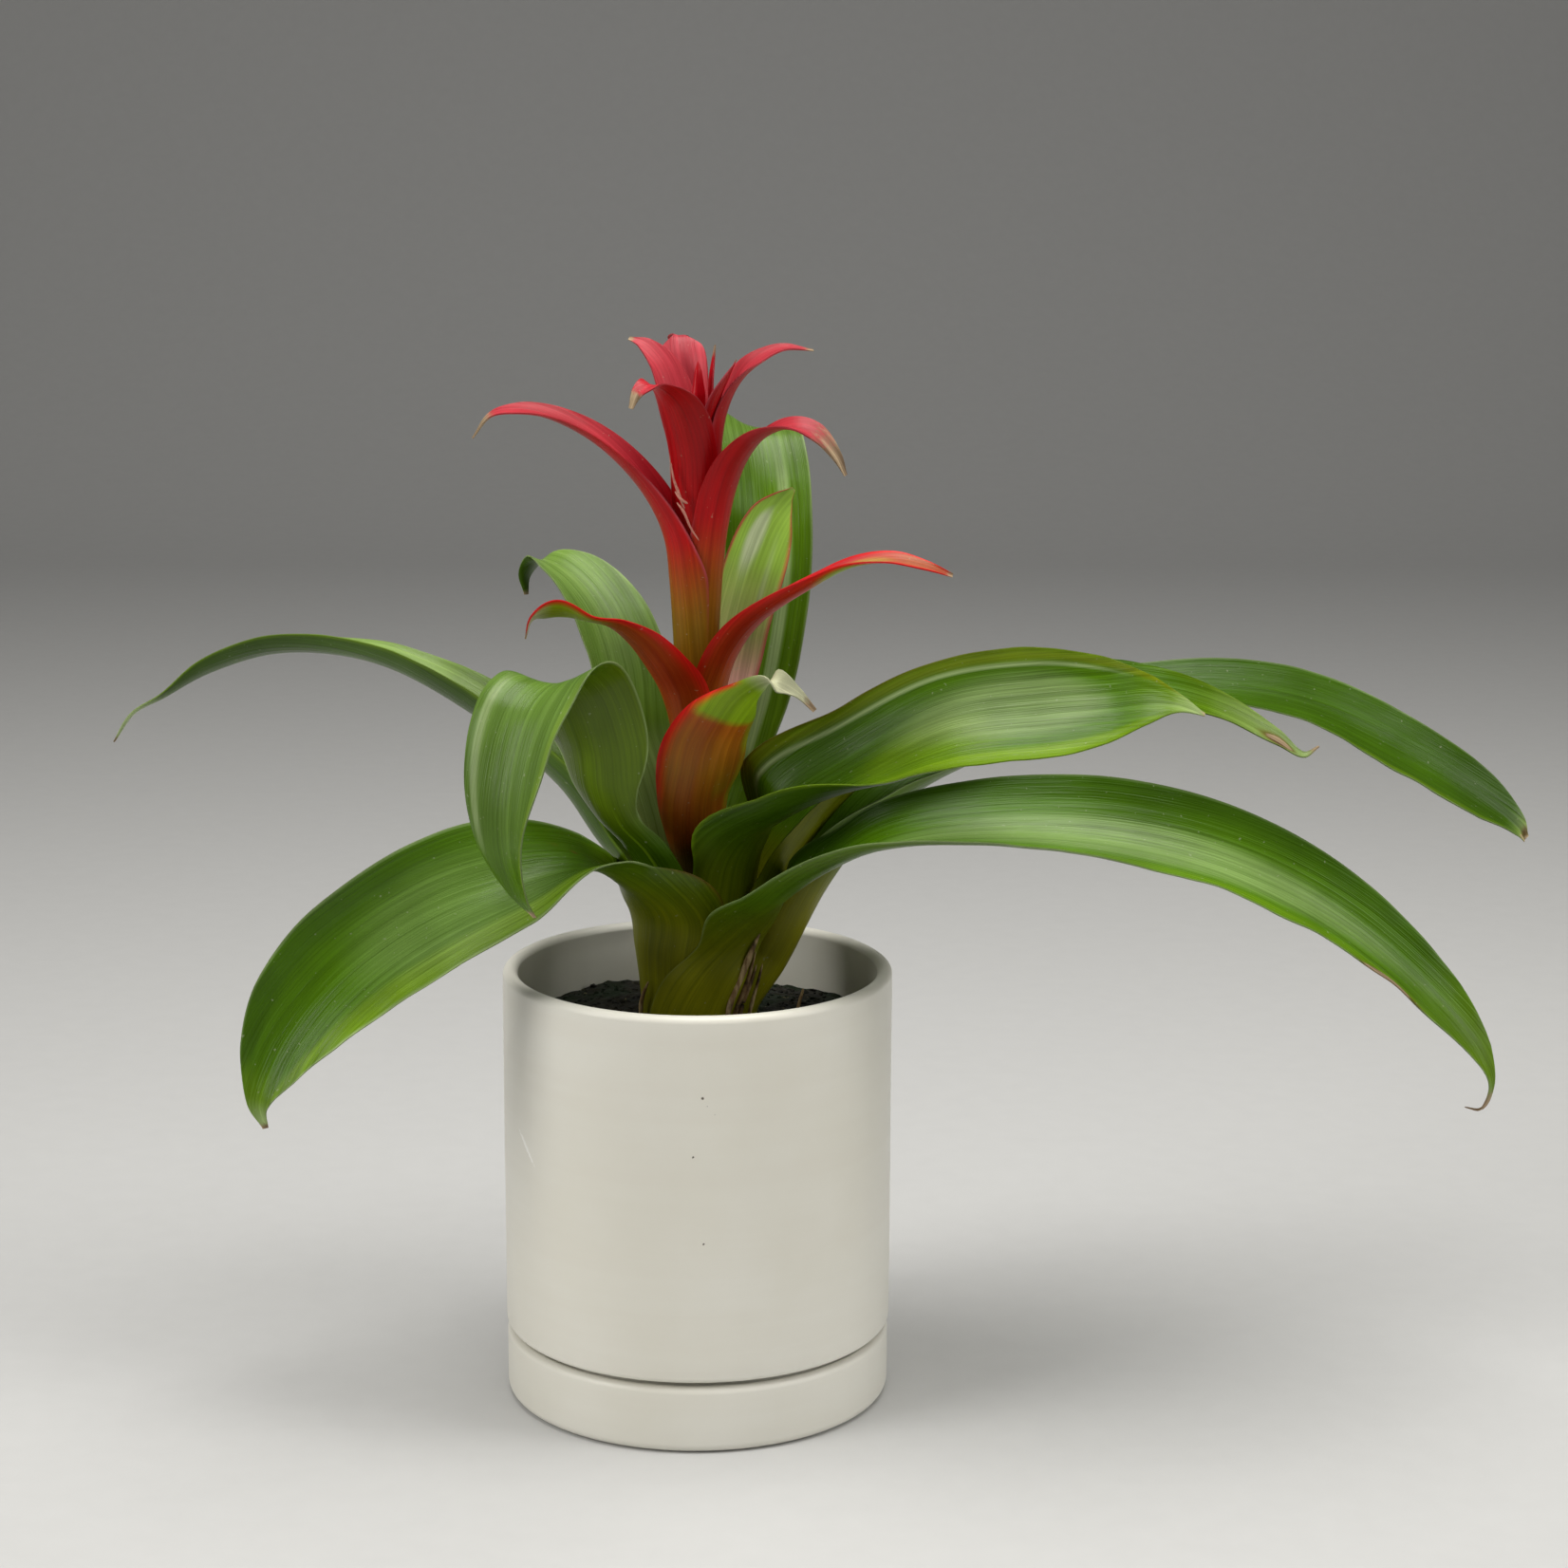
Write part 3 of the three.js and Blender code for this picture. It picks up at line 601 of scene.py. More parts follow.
class Blade:
    """The middle sheet of a leaf or bract on a fine grid, with where each point lies on it.

    step is the place along the path (0 at its first row, below 0 in the sheath), across
    runs from -1 to 1, reach is the distance along the run and out the distance from its
    middle line. A station is x, y, z, half width, cup, roll, heading and level, which is
    1 where the sheet wraps the stem and 0 on the path.
    """

    def __init__(self, stations, sheath, row, columns, seed, folds, ripple):
        stations = np.array(stations, float)
        position, reach, middle, along = rows_along(stations[:, :3], row)
        half, cup, roll, heading, level = (smooth_value(v, position) for v in stations[:, 3:].T)
        level = clamp(level)[:, None]
        side, inward, stem_distance = section_axes(middle, along, roll, heading, level)
        cup = np.radians(np.maximum(cup, LEAST_CUP))
        half = np.maximum(half, LEAST_HALF)
        bend = half / cup * (1 - level[:, 0]) + stem_distance * level[:, 0]
        width = (bend * cup)[:, None]
        grid = np.zeros((len(position), columns + 1))
        self.length = reach[-1]
        self.across = np.linspace(-1, 1, columns + 1)[None, :] + grid
        self.step = (position - sheath)[:, None] + grid
        self.reach = reach[:, None] + grid
        self.out = self.across * width
        angle = cup[:, None] * self.across
        for fold in folds:
            angle = angle + np.radians(fold(self))
        self.points = (middle[:, None, :] + side[:, None, :] * summed(width * np.cos(angle))
                       + inward[:, None, :] * summed(width * np.sin(angle)))
        margin = np.abs(self.across) ** 3
        lift = wave(reach, seed, LONG_RIPPLE)[:, None] * margin * np.sign(self.across)
        lift = lift + 0.6 * wave(reach, seed + 5, SHORT_RIPPLE)[:, None] * margin
        lift = ripple * smooth(self.step, -0.3, 1.5) * lift
        self.points += self.normals() * lift[:, :, None]

    def normals(self):
        along = np.gradient(self.points, axis=0)
        across = np.gradient(self.points, axis=1)
        return unit(np.cross(along, across))

    def sheet(self, name, thickness, material, marks):
        """The closed mesh: an inner and an outer face, joined round the edge."""
        rows, width = self.across.shape
        margin = np.abs(self.across) ** 6
        thick = thickness * (1 - margin) + MARGIN_THICKNESS * margin
        thick = thick * smooth(self.reach, self.length + 2, self.length - 8) + LEAST_THICKNESS
        offset = self.normals() * (thick / 2)[:, :, None]
        points = np.concatenate([(self.points + offset).reshape(-1, 3),
                                 (self.points - offset).reshape(-1, 3)])
        size = rows * width
        faces = []
        for i in range(rows - 1):
            for j in range(width - 1):
                a = i * width + j
                faces.append((a, a + width, a + width + 1, a + 1)[::-1])
                faces.append((size + a, size + a + width, size + a + width + 1, size + a + 1))
            for edge, flip in ((i * width, 1), (i * width + width - 1, -1)):
                faces.append((edge, size + edge, size + edge + width, edge + width)[::-flip])
        for row, flip in ((0, -1), (rows - 1, 1)):
            for j in range(width - 1):
                a = row * width + j
                faces.append((a, a + 1, size + a + 1, size + a)[::-flip])
        attributes = {"face": np.concatenate([np.zeros(size), np.ones(size)])}
        for key in TINTS:
            value = np.zeros((2, rows, width))
            for mark in marks.get(key, []):
                value = np.maximum(value, mark(self))
            attributes[key] = clamp(value).reshape(-1)
        # each face and each blade reads another part of the streaks
        uv = np.stack([self.out.ravel(), self.reach.ravel()], 1) / UV_UNIT
        uv = np.concatenate([uv, uv + (0.5, 0.37)])
        name_shift = (sum(map(ord, name)) % 97) / 9.7
        return add_mesh(name, points, faces, material, attributes, uv + name_shift)


# Folds: extra turn of a section, in degrees. Steps give a share at places along the path.

def span(rise, full, fade, end):
    """Steps that rise from 0 to 1 and fall back to 0."""
    return {rise: 0, full: 1, fade: 1, end: 0}


def share_along(blade, steps):
    """The share at each point of the sheet."""
    return np.interp(blade.step, list(steps), list(steps.values()))


def curl(side, start, turn, steps):
    """Turns a margin up (turn above 0) or down past start."""
    def fold(blade):
        past = clamp((blade.across * side - start) / (1 - start))
        return side * turn * share_along(blade, steps) * past
    return fold


def keel(turn, half_width, steps):
    """A crease along the middle line: turn above 0 makes it a channel."""
    def fold(blade):
        crease = np.tanh(blade.across / half_width)
        return turn * share_along(blade, steps) * crease * (1 - np.abs(blade.across) * 0.6)
    return fold


def pleats(turn, count, steps, seed=0.0):
    """Soft lengthwise ridges."""
    def fold(blade):
        drift = 0.7 * wave(blade.reach[:, 0], seed + 2, 60)[:, None]
        phase = count * math.pi * blade.across + seed + drift
        return turn * share_along(blade, steps) * (np.cos(phase) + 0.5 * np.cos(1.7 * phase + 1.3))
    return fold


# Marks: how strongly a colour shows, on both faces or only on face 0 (inner) or 1 (outer)

def shown(measure, face):
    """A mark that gives what measure says of the blade."""
    def mark(blade):
        value = np.stack([measure(blade)] * 2)
        if face is not None:
            value[1 - face] = 0
        return value
    return mark


def ramp(steps, face=None):
    return shown(lambda blade: share_along(blade, steps), face)


def rim(strength, side=0, start=0.8, steps=ALL_ALONG, face=None):
    """A margin, from start outwards; side 0 is both margins."""
    def measure(blade):
        across = np.abs(blade.across) if side == 0 else blade.across * side
        return strength * share_along(blade, steps) * smooth(across, start, 1.0)
    return shown(measure, face)


def spot(strength, step, across, steps_wide, across_wide, face=None):
    def measure(blade):
        away = np.hypot((blade.step - step) / steps_wide, (blade.across - across) / across_wide)
        return strength * smooth(away, 1.3, 0.6)
    return shown(measure, face)


def height_band(strength, low, high):
    """In the sheath only: full below the low height and nothing above the high one."""
    def measure(blade):
        return strength * smooth(blade.points[:, :, 2], high, low) * smooth(blade.step, 1.6, 0.4)
    return shown(measure, None)


def line(strength, across, wide, steps, face=None):
    """A lengthwise line or band centred on the given place across."""
    def measure(blade):
        near = smooth(np.abs(blade.across - across), wide, wide * 0.4)
        return strength * share_along(blade, steps) * near
    return shown(measure, face)


# Leaves and bracts

def wrap_station(heading, radius, height, wrap):
    """A station where the sheet wraps the stem."""
    return (*polar(radius, heading), height, radius * math.radians(wrap), wrap, 0, heading, 1)


def flared(radius, flare, height):
    return radius + flare * ((height - OUTER_FOOT_HEIGHT) / FLARE_HEIGHT) ** 2


def stalk_radius(height):
    return STALK_FOOT_RADIUS - STALK_TAPER * (height - STALK_FOOT_HEIGHT)


def leaf(layer, name, heading, wrap, parting, flare, blade, path, folds=(), **marks):
    """Heading and wrap are pairs: at the bottom of the sheath and at its parting height. Flare
    is how far the sheath leans out, and blade is the heading of the blade."""
    foot_height = OUTER_FOOT_HEIGHT + LAYER_RISE * layer
    spans = 3 if parting - foot_height > LONG_SHEATH else 2
    stations = []
    for i in range(spans + 1):
        height = foot_height + (parting - foot_height) * (i / spans)
        turn = (i / spans) * (i / spans)
        radius = flared(OUTER_FOOT_RADIUS - LAYER_PITCH * layer, flare, height)
        stations.append(wrap_station(heading[0] + (heading[1] - heading[0]) * turn, radius, height,
                                     wrap[0] + (wrap[1] - wrap[0]) * turn))
    stations += [(*row, blade, 0) for row in path]
    surface = Blade(stations, spans + 1, LEAF_ROW, LEAF_COLUMNS, layer, folds, LEAF_RIPPLE)
    piece = surface.sheet(name + "_blade", LEAF_THICKNESS - SHEET_TRIM, leaf_material, marks)
    own(piece, "leaf", name)


def bract(place, name, height, heading, wrap, parting, path, folds=(), slot="red_bract", **marks):
    """Height is where the bract grows from the stalk, parting where it leaves it."""
    foot_radius = stalk_radius(height) + CLEARANCE + BRACT_THICKNESS / 2
    parting_radius = foot_radius + BRACT_FLARE * (parting - height)
    stations = [wrap_station(heading, foot_radius, height, wrap),
                wrap_station(heading, parting_radius, parting, wrap)]
    stations += [(*row, heading, 0) for row in path]
    material = pale_bract_material if slot == "pale_bract" else bract_material
    surface = Blade(stations, 2, BRACT_ROW, BRACT_COLUMNS, BRACT_SEED + place, folds, BRACT_RIPPLE)
    piece = surface.sheet(name + "_blade", BRACT_THICKNESS - SHEET_TRIM, material, marks)
    own(piece, slot, name)


# The leaves, from the outermost layer inwards. A path row is x, y, z, half width, cup, roll.
leaf(0, "leaf_right_front_long", heading=(-104, -52), wrap=(42, 37), parting=160, flare=2.2, blade=-25,
    path=[[27.5, -27, 174.5, 21, 54, 4], [42, -38, 188, 18.5, 48, 9], [62, -42, 198, 18, 38, 20],
          [94, -45, 203, 19, 33, 28], [134, -49, 202, 19, 30, 36], [170, -52, 193.4, 17.5, 28, 37],
          [205, -54, 175.5, 14.5, 25, 35], [236, -57, 149, 10, 22, 30], [250, -57, 132, 4.6, 20, 35],
          [254, -57, 121, 1.4, 20, 20], [251, -57, 113.5, 1.4, 20, 0], [246, -57, 114, 0.8, 20, 0]],
    folds=[keel(8, 0.12, span(0, 2, 7, 9)), pleats(2.2, 5, span(-1, 1, 7, 9), 1),
           curl(-1, 0.72, 24, span(0.5, 1.5, 6, 8))],
    olive=[height_band(0.85, 140, 182)],
    deep=[rim(0.75, 1, 0.1, {-0.5: 0.3, 1: 1, 6: 1, 8: 0}, 0)],
    lime=[line(0.2, -0.85, 0.2, span(0, 1, 7, 9)), ramp({6.6: 0, 8.2: 0.5})],
    pale=[line(0.45, -1, 0.035, {-4: 0.4, 8: 1}), line(0.3, 1, 0.035, {-4: 0.4, 8: 1}),
          # the faint whitish spot over the middle of the inner face is a painted highlight
          spot(0.22, 4.2, -0.15, 2.4, 0.45, 0)],
    brown=[height_band(0.5, 122, 138), spot(0.8, 6.55, -0.98, 0.34, 0.12)],
    dry=[ramp({8.6: 0, 9.6: 0.75, 11: 1}), spot(1, 6.5, -0.97, 0.24, 0.16)])
leaf(1, "leaf_right_back_long", heading=(0, 4), wrap=(60, 56), parting=131, flare=2.4, blade=15,
    path=[[28.5, 4, 145, 19, 60, 0], [44, 7, 174, 21, 55, 0], [64, 14, 197, 19, 45, 5],
          [108, 30, 219, 17, 36, 14], [160, 36, 231, 17, 32, 14], [203, 41, 227, 17, 28, 28],
          [240, 44, 211, 15, 25, 44], [271, 44, 193, 11, 22, 52], [284, 44, 183, 5, 20, 55],
          [287, 44, 179, 2, 20, 55]],
    folds=[keel(8, 0.12, {0: 0, 2: 1, 7: 1, 8: 2.5, 9: 2.5}), pleats(1.6, 4, span(0, 2, 7, 9), 2),
           curl(-1, 0, 72, {-2: 0, -0.7: 0.7, 0: 1, 1.1: 1, 1.9: 0.3, 2.5: 0})],
    olive=[height_band(0.95, 168, 215)],
    lime=[ramp({7.8: 0, 8.3: 0.9}), line(0.3, -0.9, 0.14, {1: 0, 3: 1, 8: 1})],
    pale=[line(0.4, -1, 0.04, {-4: 0.4, 8: 1}), line(0.3, 1, 0.04, {-4: 0.4, 8: 1}),
          ramp({7.6: 0, 8.6: 0.4})],
    # near the foot of the blade, where it lies under leaf_right_broad, the darker green on the inner face
    # is painted shade; farther out it just makes the inner face darker
    deep=[ramp({-1: 0, 0: 0.35, 1.8: 0.35, 3: 0.3, 4: 0.6, 7.4: 0.6, 8.4: 0}, 0)],
    brown=[height_band(0.4, 122, 134), spot(1, 8.7, 0.5, 0.5, 0.6)],
    dry=[ramp({8.5: 0, 9: 0.7}), spot(1, 8.6, -0.5, 0.25, 0.4)])
leaf(2, "leaf_left_broad", heading=(-140, -127), wrap=(64, 58), parting=168, flare=2.3, blade=-165,
    path=[[-25, -26, 180.5, 16.5, 63, 13], [-35, -30.5, 186.5, 18.5, 48, 0],
          [-57, -36, 184.5, 21.5, 33, -38], [-84, -42, 176.5, 22, 27, -66],
          [-110, -49, 160.5, 21, 24, -66], [-126, -54, 144, 17.5, 22, -62], [-135, -57, 129, 11, 20, -58],
          [-139, -59, 116, 4, 20, -50], [-137, -60, 109, 1, 20, -50]],
    folds=[keel(6, 0.1, span(0, 2, 5, 7)), pleats(2.4, 6, {0: 0, 1.5: 1, 5.5: 1, 6.6: 3.5, 8: 3}, 3),
           curl(1, 0.5, -34, span(0.2, 0.8, 2, 3))],
    olive=[height_band(0.85, 146, 195)],
    deep=[ramp({0.4: 0, 1: 0.25, 1.8: 0.2, 2.4: 0}, 0), line(0.4, -0.75, 0.3, span(2, 3, 6, 7), 0)],
    lime=[line(0.55, 0.82, 0.26, {0.4: 0, 1: 1, 7: 1}, 0), ramp({6: 0, 7: 0.5})],
    pale=[line(0.5, 1, 0.035, {-0.2: 0, 0.4: 1, 8: 1}), line(0.4, -1, 0.03, {0: 0, 1: 1, 8: 1}),
          # the whitish spot on the inner face is a painted highlight; the pale tip is the leaf's own colour
          spot(0.12, 2.7, 0.2, 1.3, 0.8, 0), ramp({6.8: 0, 7.6: 0.5})],
    brown=[height_band(0.5, 122, 140), rim(0.9, 1, 0.93, span(-1.1, -0.9, -0.3, 0)),
           spot(0.9, 1.45, -0.62, 0.035, 0.03, 0), spot(0.8, 1.15, -0.5, 0.03, 0.025, 0)],
    dry=[ramp({7.5: 0, 8: 0.8})])
leaf(3, "leaf_left_arched", heading=(-122, -122), wrap=(62, 40), parting=166, flare=2, blade=-120,
    path=[[-13.5, -21, 179, 11, 50, -4], [-19.5, -25, 191, 10.5, 46, -6], [-27.5, -29, 201, 10, 42, -6],
          [-31.5, -34, 212, 13, 40, 2], [-33, -41, 228, 18, 36, 12], [-38, -51, 245, 18.5, 28, 24],
          [-44, -60, 252, 17.5, 24, 8], [-52, -70, 246, 16.5, 22, -5], [-58, -78, 226, 15, 22, 0],
          [-59, -81, 205, 10.4, 22, 10], [-55, -79, 190, 5, 20, 15], [-50, -77, 182, 1, 20, 15]],
    folds=[keel(7, 0.12, span(2, 4, 9, 10)), pleats(1.2, 5, span(1, 4, 9, 11), 4),
           curl(-1, 0.68, -46, span(5.6, 6.6, 9.4, 10.6))],
    olive=[height_band(0.85, 156, 188), ramp({1: 0, 2.5: 0.2, 5: 0.2, 6: 0}, 1)],
    deep=[ramp({-0.5: 0, 1: 0.25, 3: 0.35, 5: 0.35, 6: 0}, 1)],
    lime=[line(0.9, 0.32, 0.05, {-2: 1, 1: 1, 3.4: 0}, 1), line(0.9, -0.97, 0.08, {-2: 1, 5: 1, 6: 0}),
          ramp({5.4: 0, 6.4: 0.1, 10: 0.1}, 0), line(0.6, 0.93, 0.12, {5.5: 0, 7: 1, 11: 1}, 0),
          spot(0.3, 3.4, 0.35, 1.3, 0.7, 1)],
    # the whitish band near the curled left edge of the hanging part, and the faint pale wash over that
    # part's inner face, are painted highlights; the margin line is the leaf's own colour
    pale=[line(0.4, 1, 0.035, {1: 0, 3: 1, 11: 1}), line(0.55, -0.74, 0.12, span(6.1, 7, 8.6, 9.2), 0),
          ramp({5.6: 0, 6.6: 0.12, 8.6: 0.1, 9.6: 0}, 0)],
    brown=[height_band(0.4, 122, 140)],
    dry=[ramp({10.4: 0, 11: 0.9})])
leaf(4, "leaf_right_back_short", heading=(20, 8), wrap=(58, 50), parting=158, flare=2.2, blade=5,
    path=[[27.5, 5, 173.5, 19.5, 74, 2], [38.5, 7, 189, 18, 64, 0], [55, 9.5, 207, 14, 46, 6],
          [94, 11, 231, 12.5, 38, 24], [132, 9, 239, 11.5, 32, 26], [158, 10, 236, 9, 30, 34],
          [176, 11, 230, 6.5, 28, 36], [193, 12, 221, 4, 25, 34], [203, 13, 215, 1.6, 20, 20],
          [208, 13, 218, 0.8, 20, 0]],
    folds=[keel(8, 0.15, span(0, 2, 6, 8)), pleats(2.4, 3, {5: 0, 6.4: 1, 8: 1}, 5)],
    olive=[height_band(0.9, 168, 196), ramp({-1: 0.6, 0.6: 0.65, 1.6: 0.5, 2.6: 0}, 1)],
    lime=[rim(0.9, 0, 0.72, {4.5: 0, 6: 1, 9: 1}), ramp({5: 0, 6.4: 0.6}),
          line(0.4, 0, 0.3, {-1: 1, 2: 1, 3: 0}, 1)],
    pale=[ramp({5.6: 0, 7: 0.35, 9: 0.6})],
    brown=[spot(1, 7.15, -0.3, 0.5, 0.7)],
    dry=[spot(1, 7.15, -0.3, 0.4, 0.55), ramp({7.6: 0, 9: 0.8})])
leaf(5, "leaf_right_broad", heading=(-34, -32), wrap=(70, 62), parting=188, flare=1.6, blade=-5,
    path=[[28.5, -14, 201, 28, 83, 13], [52, -12.5, 215, 24, 60, 32], [82, -16, 231, 22.5, 37, 48],
          [112, -19, 236, 21.5, 34, 54], [132, -21, 238, 17, 31, 50], [146, -25, 240, 9, 28, 50],
          [155, -26, 239, 4, 26, 40], [163, -26, 236, 1, 20, 40]],
    folds=[pleats(2.6, 7, {0: 0, 1.5: 1, 4: 1.4, 6: 2.5, 7: 2}, 5),
           curl(1, 0.8, 30, {-0.2: 0, 1: 1, 3.4: 1, 5: 0.4}), curl(-1, 0.86, 20, span(0.5, 1.5, 4, 6))],
    olive=[height_band(0.6, 160, 204), rim(0.9, 1, 0.74, {-1: 0, 0: 1, 4: 1, 6: 0.6}, 0)],
    deep=[spot(0.5, 0.9, 0.1, 1.2, 0.6, 0), ramp({-1: 0, 0: 0.2, 1.4: 0.25, 3: 0.1}, 1)],
    lime=[rim(0.9, 1, 0.76, span(-0.5, 0.6, 4, 6), 0),
          line(0.75, -0.82, 0.24, {0: 0, 0.8: 1, 3.5: 1, 5: 0.6}, 0), spot(0.4, 1.7, -0.4, 0.8, 0.6, 0),
          ramp({4.4: 0, 6: 0.6}), line(0.9, -1, 0.05, {-2: 1, 5: 1})],
    pale=[line(0.9, 0.76, 0.045, {-0.6: 0, 0: 1, 1.2: 0.8, 3.6: 0.6, 4.6: 0}, 0),
          # the whitish spot on the inner face is a painted highlight; the pale tip is the leaf's own colour
          spot(0.3, 2.8, 0.1, 1.2, 0.5, 0), ramp({5.6: 0, 6.6: 0.6})],
    red=[rim(0.6, 1, 0.97, {-2: 1, 1.5: 0.8, 3: 0})],
    brown=[height_band(0.3, 126, 145)],
    dry=[ramp({6.4: 0, 7: 0.6})])
leaf(6, "leaf_left_back_long", heading=(172, 157), wrap=(70, 36), parting=170, flare=1.8, blade=170,
    path=[[-32, 7.5, 187, 15.5, 60, 0], [-45.5, 18, 204, 20, 70, 0], [-76, 42, 224, 18, 70, 0],
          [-112, 60, 238.5, 15, 56, 8], [-145, 68, 240.5, 12, 50, 14], [-170, 72, 233, 9, 42, 14],
          [-186, 72, 224, 5, 36, 0], [-197, 72, 218, 2.4, 25, 0], [-204, 72, 208, 0.8, 20, 0]],
    folds=[pleats(1.6, 4, span(1, 2, 6, 8), 6)],
    olive=[height_band(0.8, 160, 190)],
    deep=[ramp({0.4: 0, 1.4: 0.4, 5.5: 0.35, 6.4: 0}, 1)],
    lime=[ramp({0: 0.1, 1.4: 0.35, 6: 0.45}, 0), line(0.7, 1, 0.07, {-1: 0.6, 7: 1}),
          line(0.35, 0.1, 0.25, {-1: 1, 1: 0.6, 2: 0}, 1)],
    # the pale wash over the middle of the inner face is a painted sheen; towards the tip both faces turn
    # pale in the leaf's own colour
    pale=[ramp({1: 0, 2.4: 0.25, 5: 0.3, 6.2: 0.3, 7.2: 0.8}, 0), ramp({5.9: 0, 7: 0.7}, 1)],
    dry=[ramp({7.4: 0, 8: 0.7})])
leaf(7, "leaf_back_left", heading=(135, 142), wrap=(70, 66), parting=190, flare=1.3, blade=130,
    path=[[-19, 14, 206, 17, 54, 5], [-24, 18, 223, 17.5, 42, 8], [-27, 30, 243, 18, 34, 0],
          [-34, 41, 260, 17, 29, 2], [-45, 52, 271, 13, 26, 0], [-54, 58, 274, 7, 25, 0],
          [-59, 60, 269, 3, 20, 0], [-59, 60, 262, 0.8, 20, 0]],
    folds=[keel(7, 0.15, span(0, 2, 5, 7)), pleats(1.8, 5, span(0, 2, 5, 7), 7)],
    olive=[height_band(0.7, 170, 200)],
    lime=[ramp({-1: 0.4, 1: 0.3, 3: 0.15, 7: 0.3}, 0)],
    pale=[ramp({-1: 0.3, 0.4: 0.25, 1.2: 0.05, 2: 0.12, 4: 0.15}, 0),
          # the broad whitish band down the middle of the inner face near the top of the blade is a painted
          # highlight
          line(0.2, 0, 0.6, {1.2: 0, 2.2: 1, 3.8: 1, 5: 0.4}, 0), line(0.4, 1, 0.05, {0: 1, 7: 1}),
          line(0.4, -1, 0.05, {0: 1, 7: 1})],
    dry=[ramp({6.5: 0, 7: 0.7})])
leaf(8, "leaf_back_upright", heading=(75, 76), wrap=(64, 44), parting=186, flare=1, blade=80,
    path=[[8.5, 20.8, 206, 12.2, 44, 12], [17, 27, 240, 16, 40, 26], [22, 34, 275, 16.5, 34, 24],
          [21, 46, 305, 17, 28, 24], [18, 60, 319, 16.5, 25, 20], [16, 78, 316, 14, 24, 10],
          [13, 96, 302, 10.5, 22, 0], [10, 108, 284, 6, 20, 0], [9, 113, 273, 1, 20, 0]],
    folds=[keel(7, 0.15, span(0, 2, 6, 8)), pleats(2, 5, span(0, 1.5, 6, 8), 8)],
    olive=[height_band(0.7, 170, 200)],
    lime=[ramp({-1: 0.4, 1: 0.25, 3: 0.1, 7: 0.2}, 0)],
    # the whitish strip along the inner face is a painted highlight
    pale=[line(0.62, -0.44, 0.16, {0.1: 0, 0.35: 0.9, 2.2: 1, 3.2: 0.3, 4: 0}, 0),
          line(0.4, -1, 0.05, {0: 1, 7: 1}), line(0.4, 1, 0.05, {0: 1, 7: 1}),
          ramp({2.8: 0, 3.6: 0.12, 4.6: 0}, 0)],
    deep=[line(0.35, 0.55, 0.5, {0.5: 0, 1.5: 1, 3: 0.6, 4: 0}, 0)],
    dry=[ramp({7.5: 0, 8: 0.8})])

# The bracts, from the lowest upwards, with path rows as for leaves
bract(0, "bract_front_low", height=168, heading=-85, wrap=80, parting=182,
    path=[[0, -12, 190, 11, 56, 4], [0, -20, 205, 13.5, 45, 14], [2, -25, 217, 16.3, 40, 14],
          [4, -28, 226, 15.5, 36, 13], [9, -32, 236, 13, 34, 15], [15, -35, 244, 6.6, 30, 13],
          [24, -38, 249, 4.6, 40, 24], [31, -39, 246, 1.8, 20, 10], [37, -40, 240, 0.8, 20, 10]],
    folds=[pleats(2.5, 4, span(0, 2, 5, 8), 1), curl(-1, 0.8, 26, {1: 0, 2: 1, 5: 1})],
    olive=[ramp({-1: 0.7, 0.2: 0.45, 1: 0.55, 2: 0.7, 3.2: 0.6, 4: 0.4}),
           line(0.85, 0.5, 0.4, {0.3: 0, 1.4: 1, 3: 0.6, 4: 0})],
    lime=[ramp({3.75: 0, 4: 1, 6: 1}), line(0.6, 1, 0.3, {0.2: 0, 1: 1, 2.4: 0.3, 3: 1, 5: 1})],
    cream=[ramp({5.3: 0, 5.9: 0.8})],
    red=[rim(1, -1, 0.7, {0.6: 0, 1.4: 0.8, 2: 1, 5: 1, 5.3: 0})],
    brown=[ramp({-1.6: 1, -0.6: 0.85, 0.15: 0})],
    dry=[ramp({6.2: 0, 7.4: 0.4, 8: 1})])
bract(1, "bract_back_pale", height=180, heading=75, wrap=60, parting=200, slot="pale_bract",
    path=[[5, 14, 218, 9, 48, 10], [9, 18, 242, 11.5, 46, 24], [13, 20, 262, 12.2, 44, 32],
          [18, 24, 279, 12, 40, 34], [23, 28, 291, 9.5, 34, 38], [28, 31, 298, 4.5, 30, 42],
          [32, 32, 302, 0.8, 20, 42]],
    folds=[keel(8, 0.15, span(0, 1, 5, 6))],
    lime=[ramp({1.4: 0, 2.4: 0.35, 6: 0.3})],
    pale=[ramp({-1: 1, 0.9: 0.95, 1.7: 0.3, 3: 0, 6: 0})],
    # the cream spot and streak near the top of the inner face are painted highlights
    cream=[spot(0.6, 3.6, 0.2, 0.9, 0.3, 0), line(0.3, -0.5, 0.12, {1.4: 0, 2.4: 1, 4: 0}, 0)],
    red=[rim(1, 0, 0.86, {-2: 0.6, 6: 1})],
    brown=[spot(0.7, 0.35, 0.1, 0.06, 0.3), spot(0.6, 0.5, -0.25, 0.05, 0.2)],
    dry=[ramp({5.2: 0, 6: 0.5})])
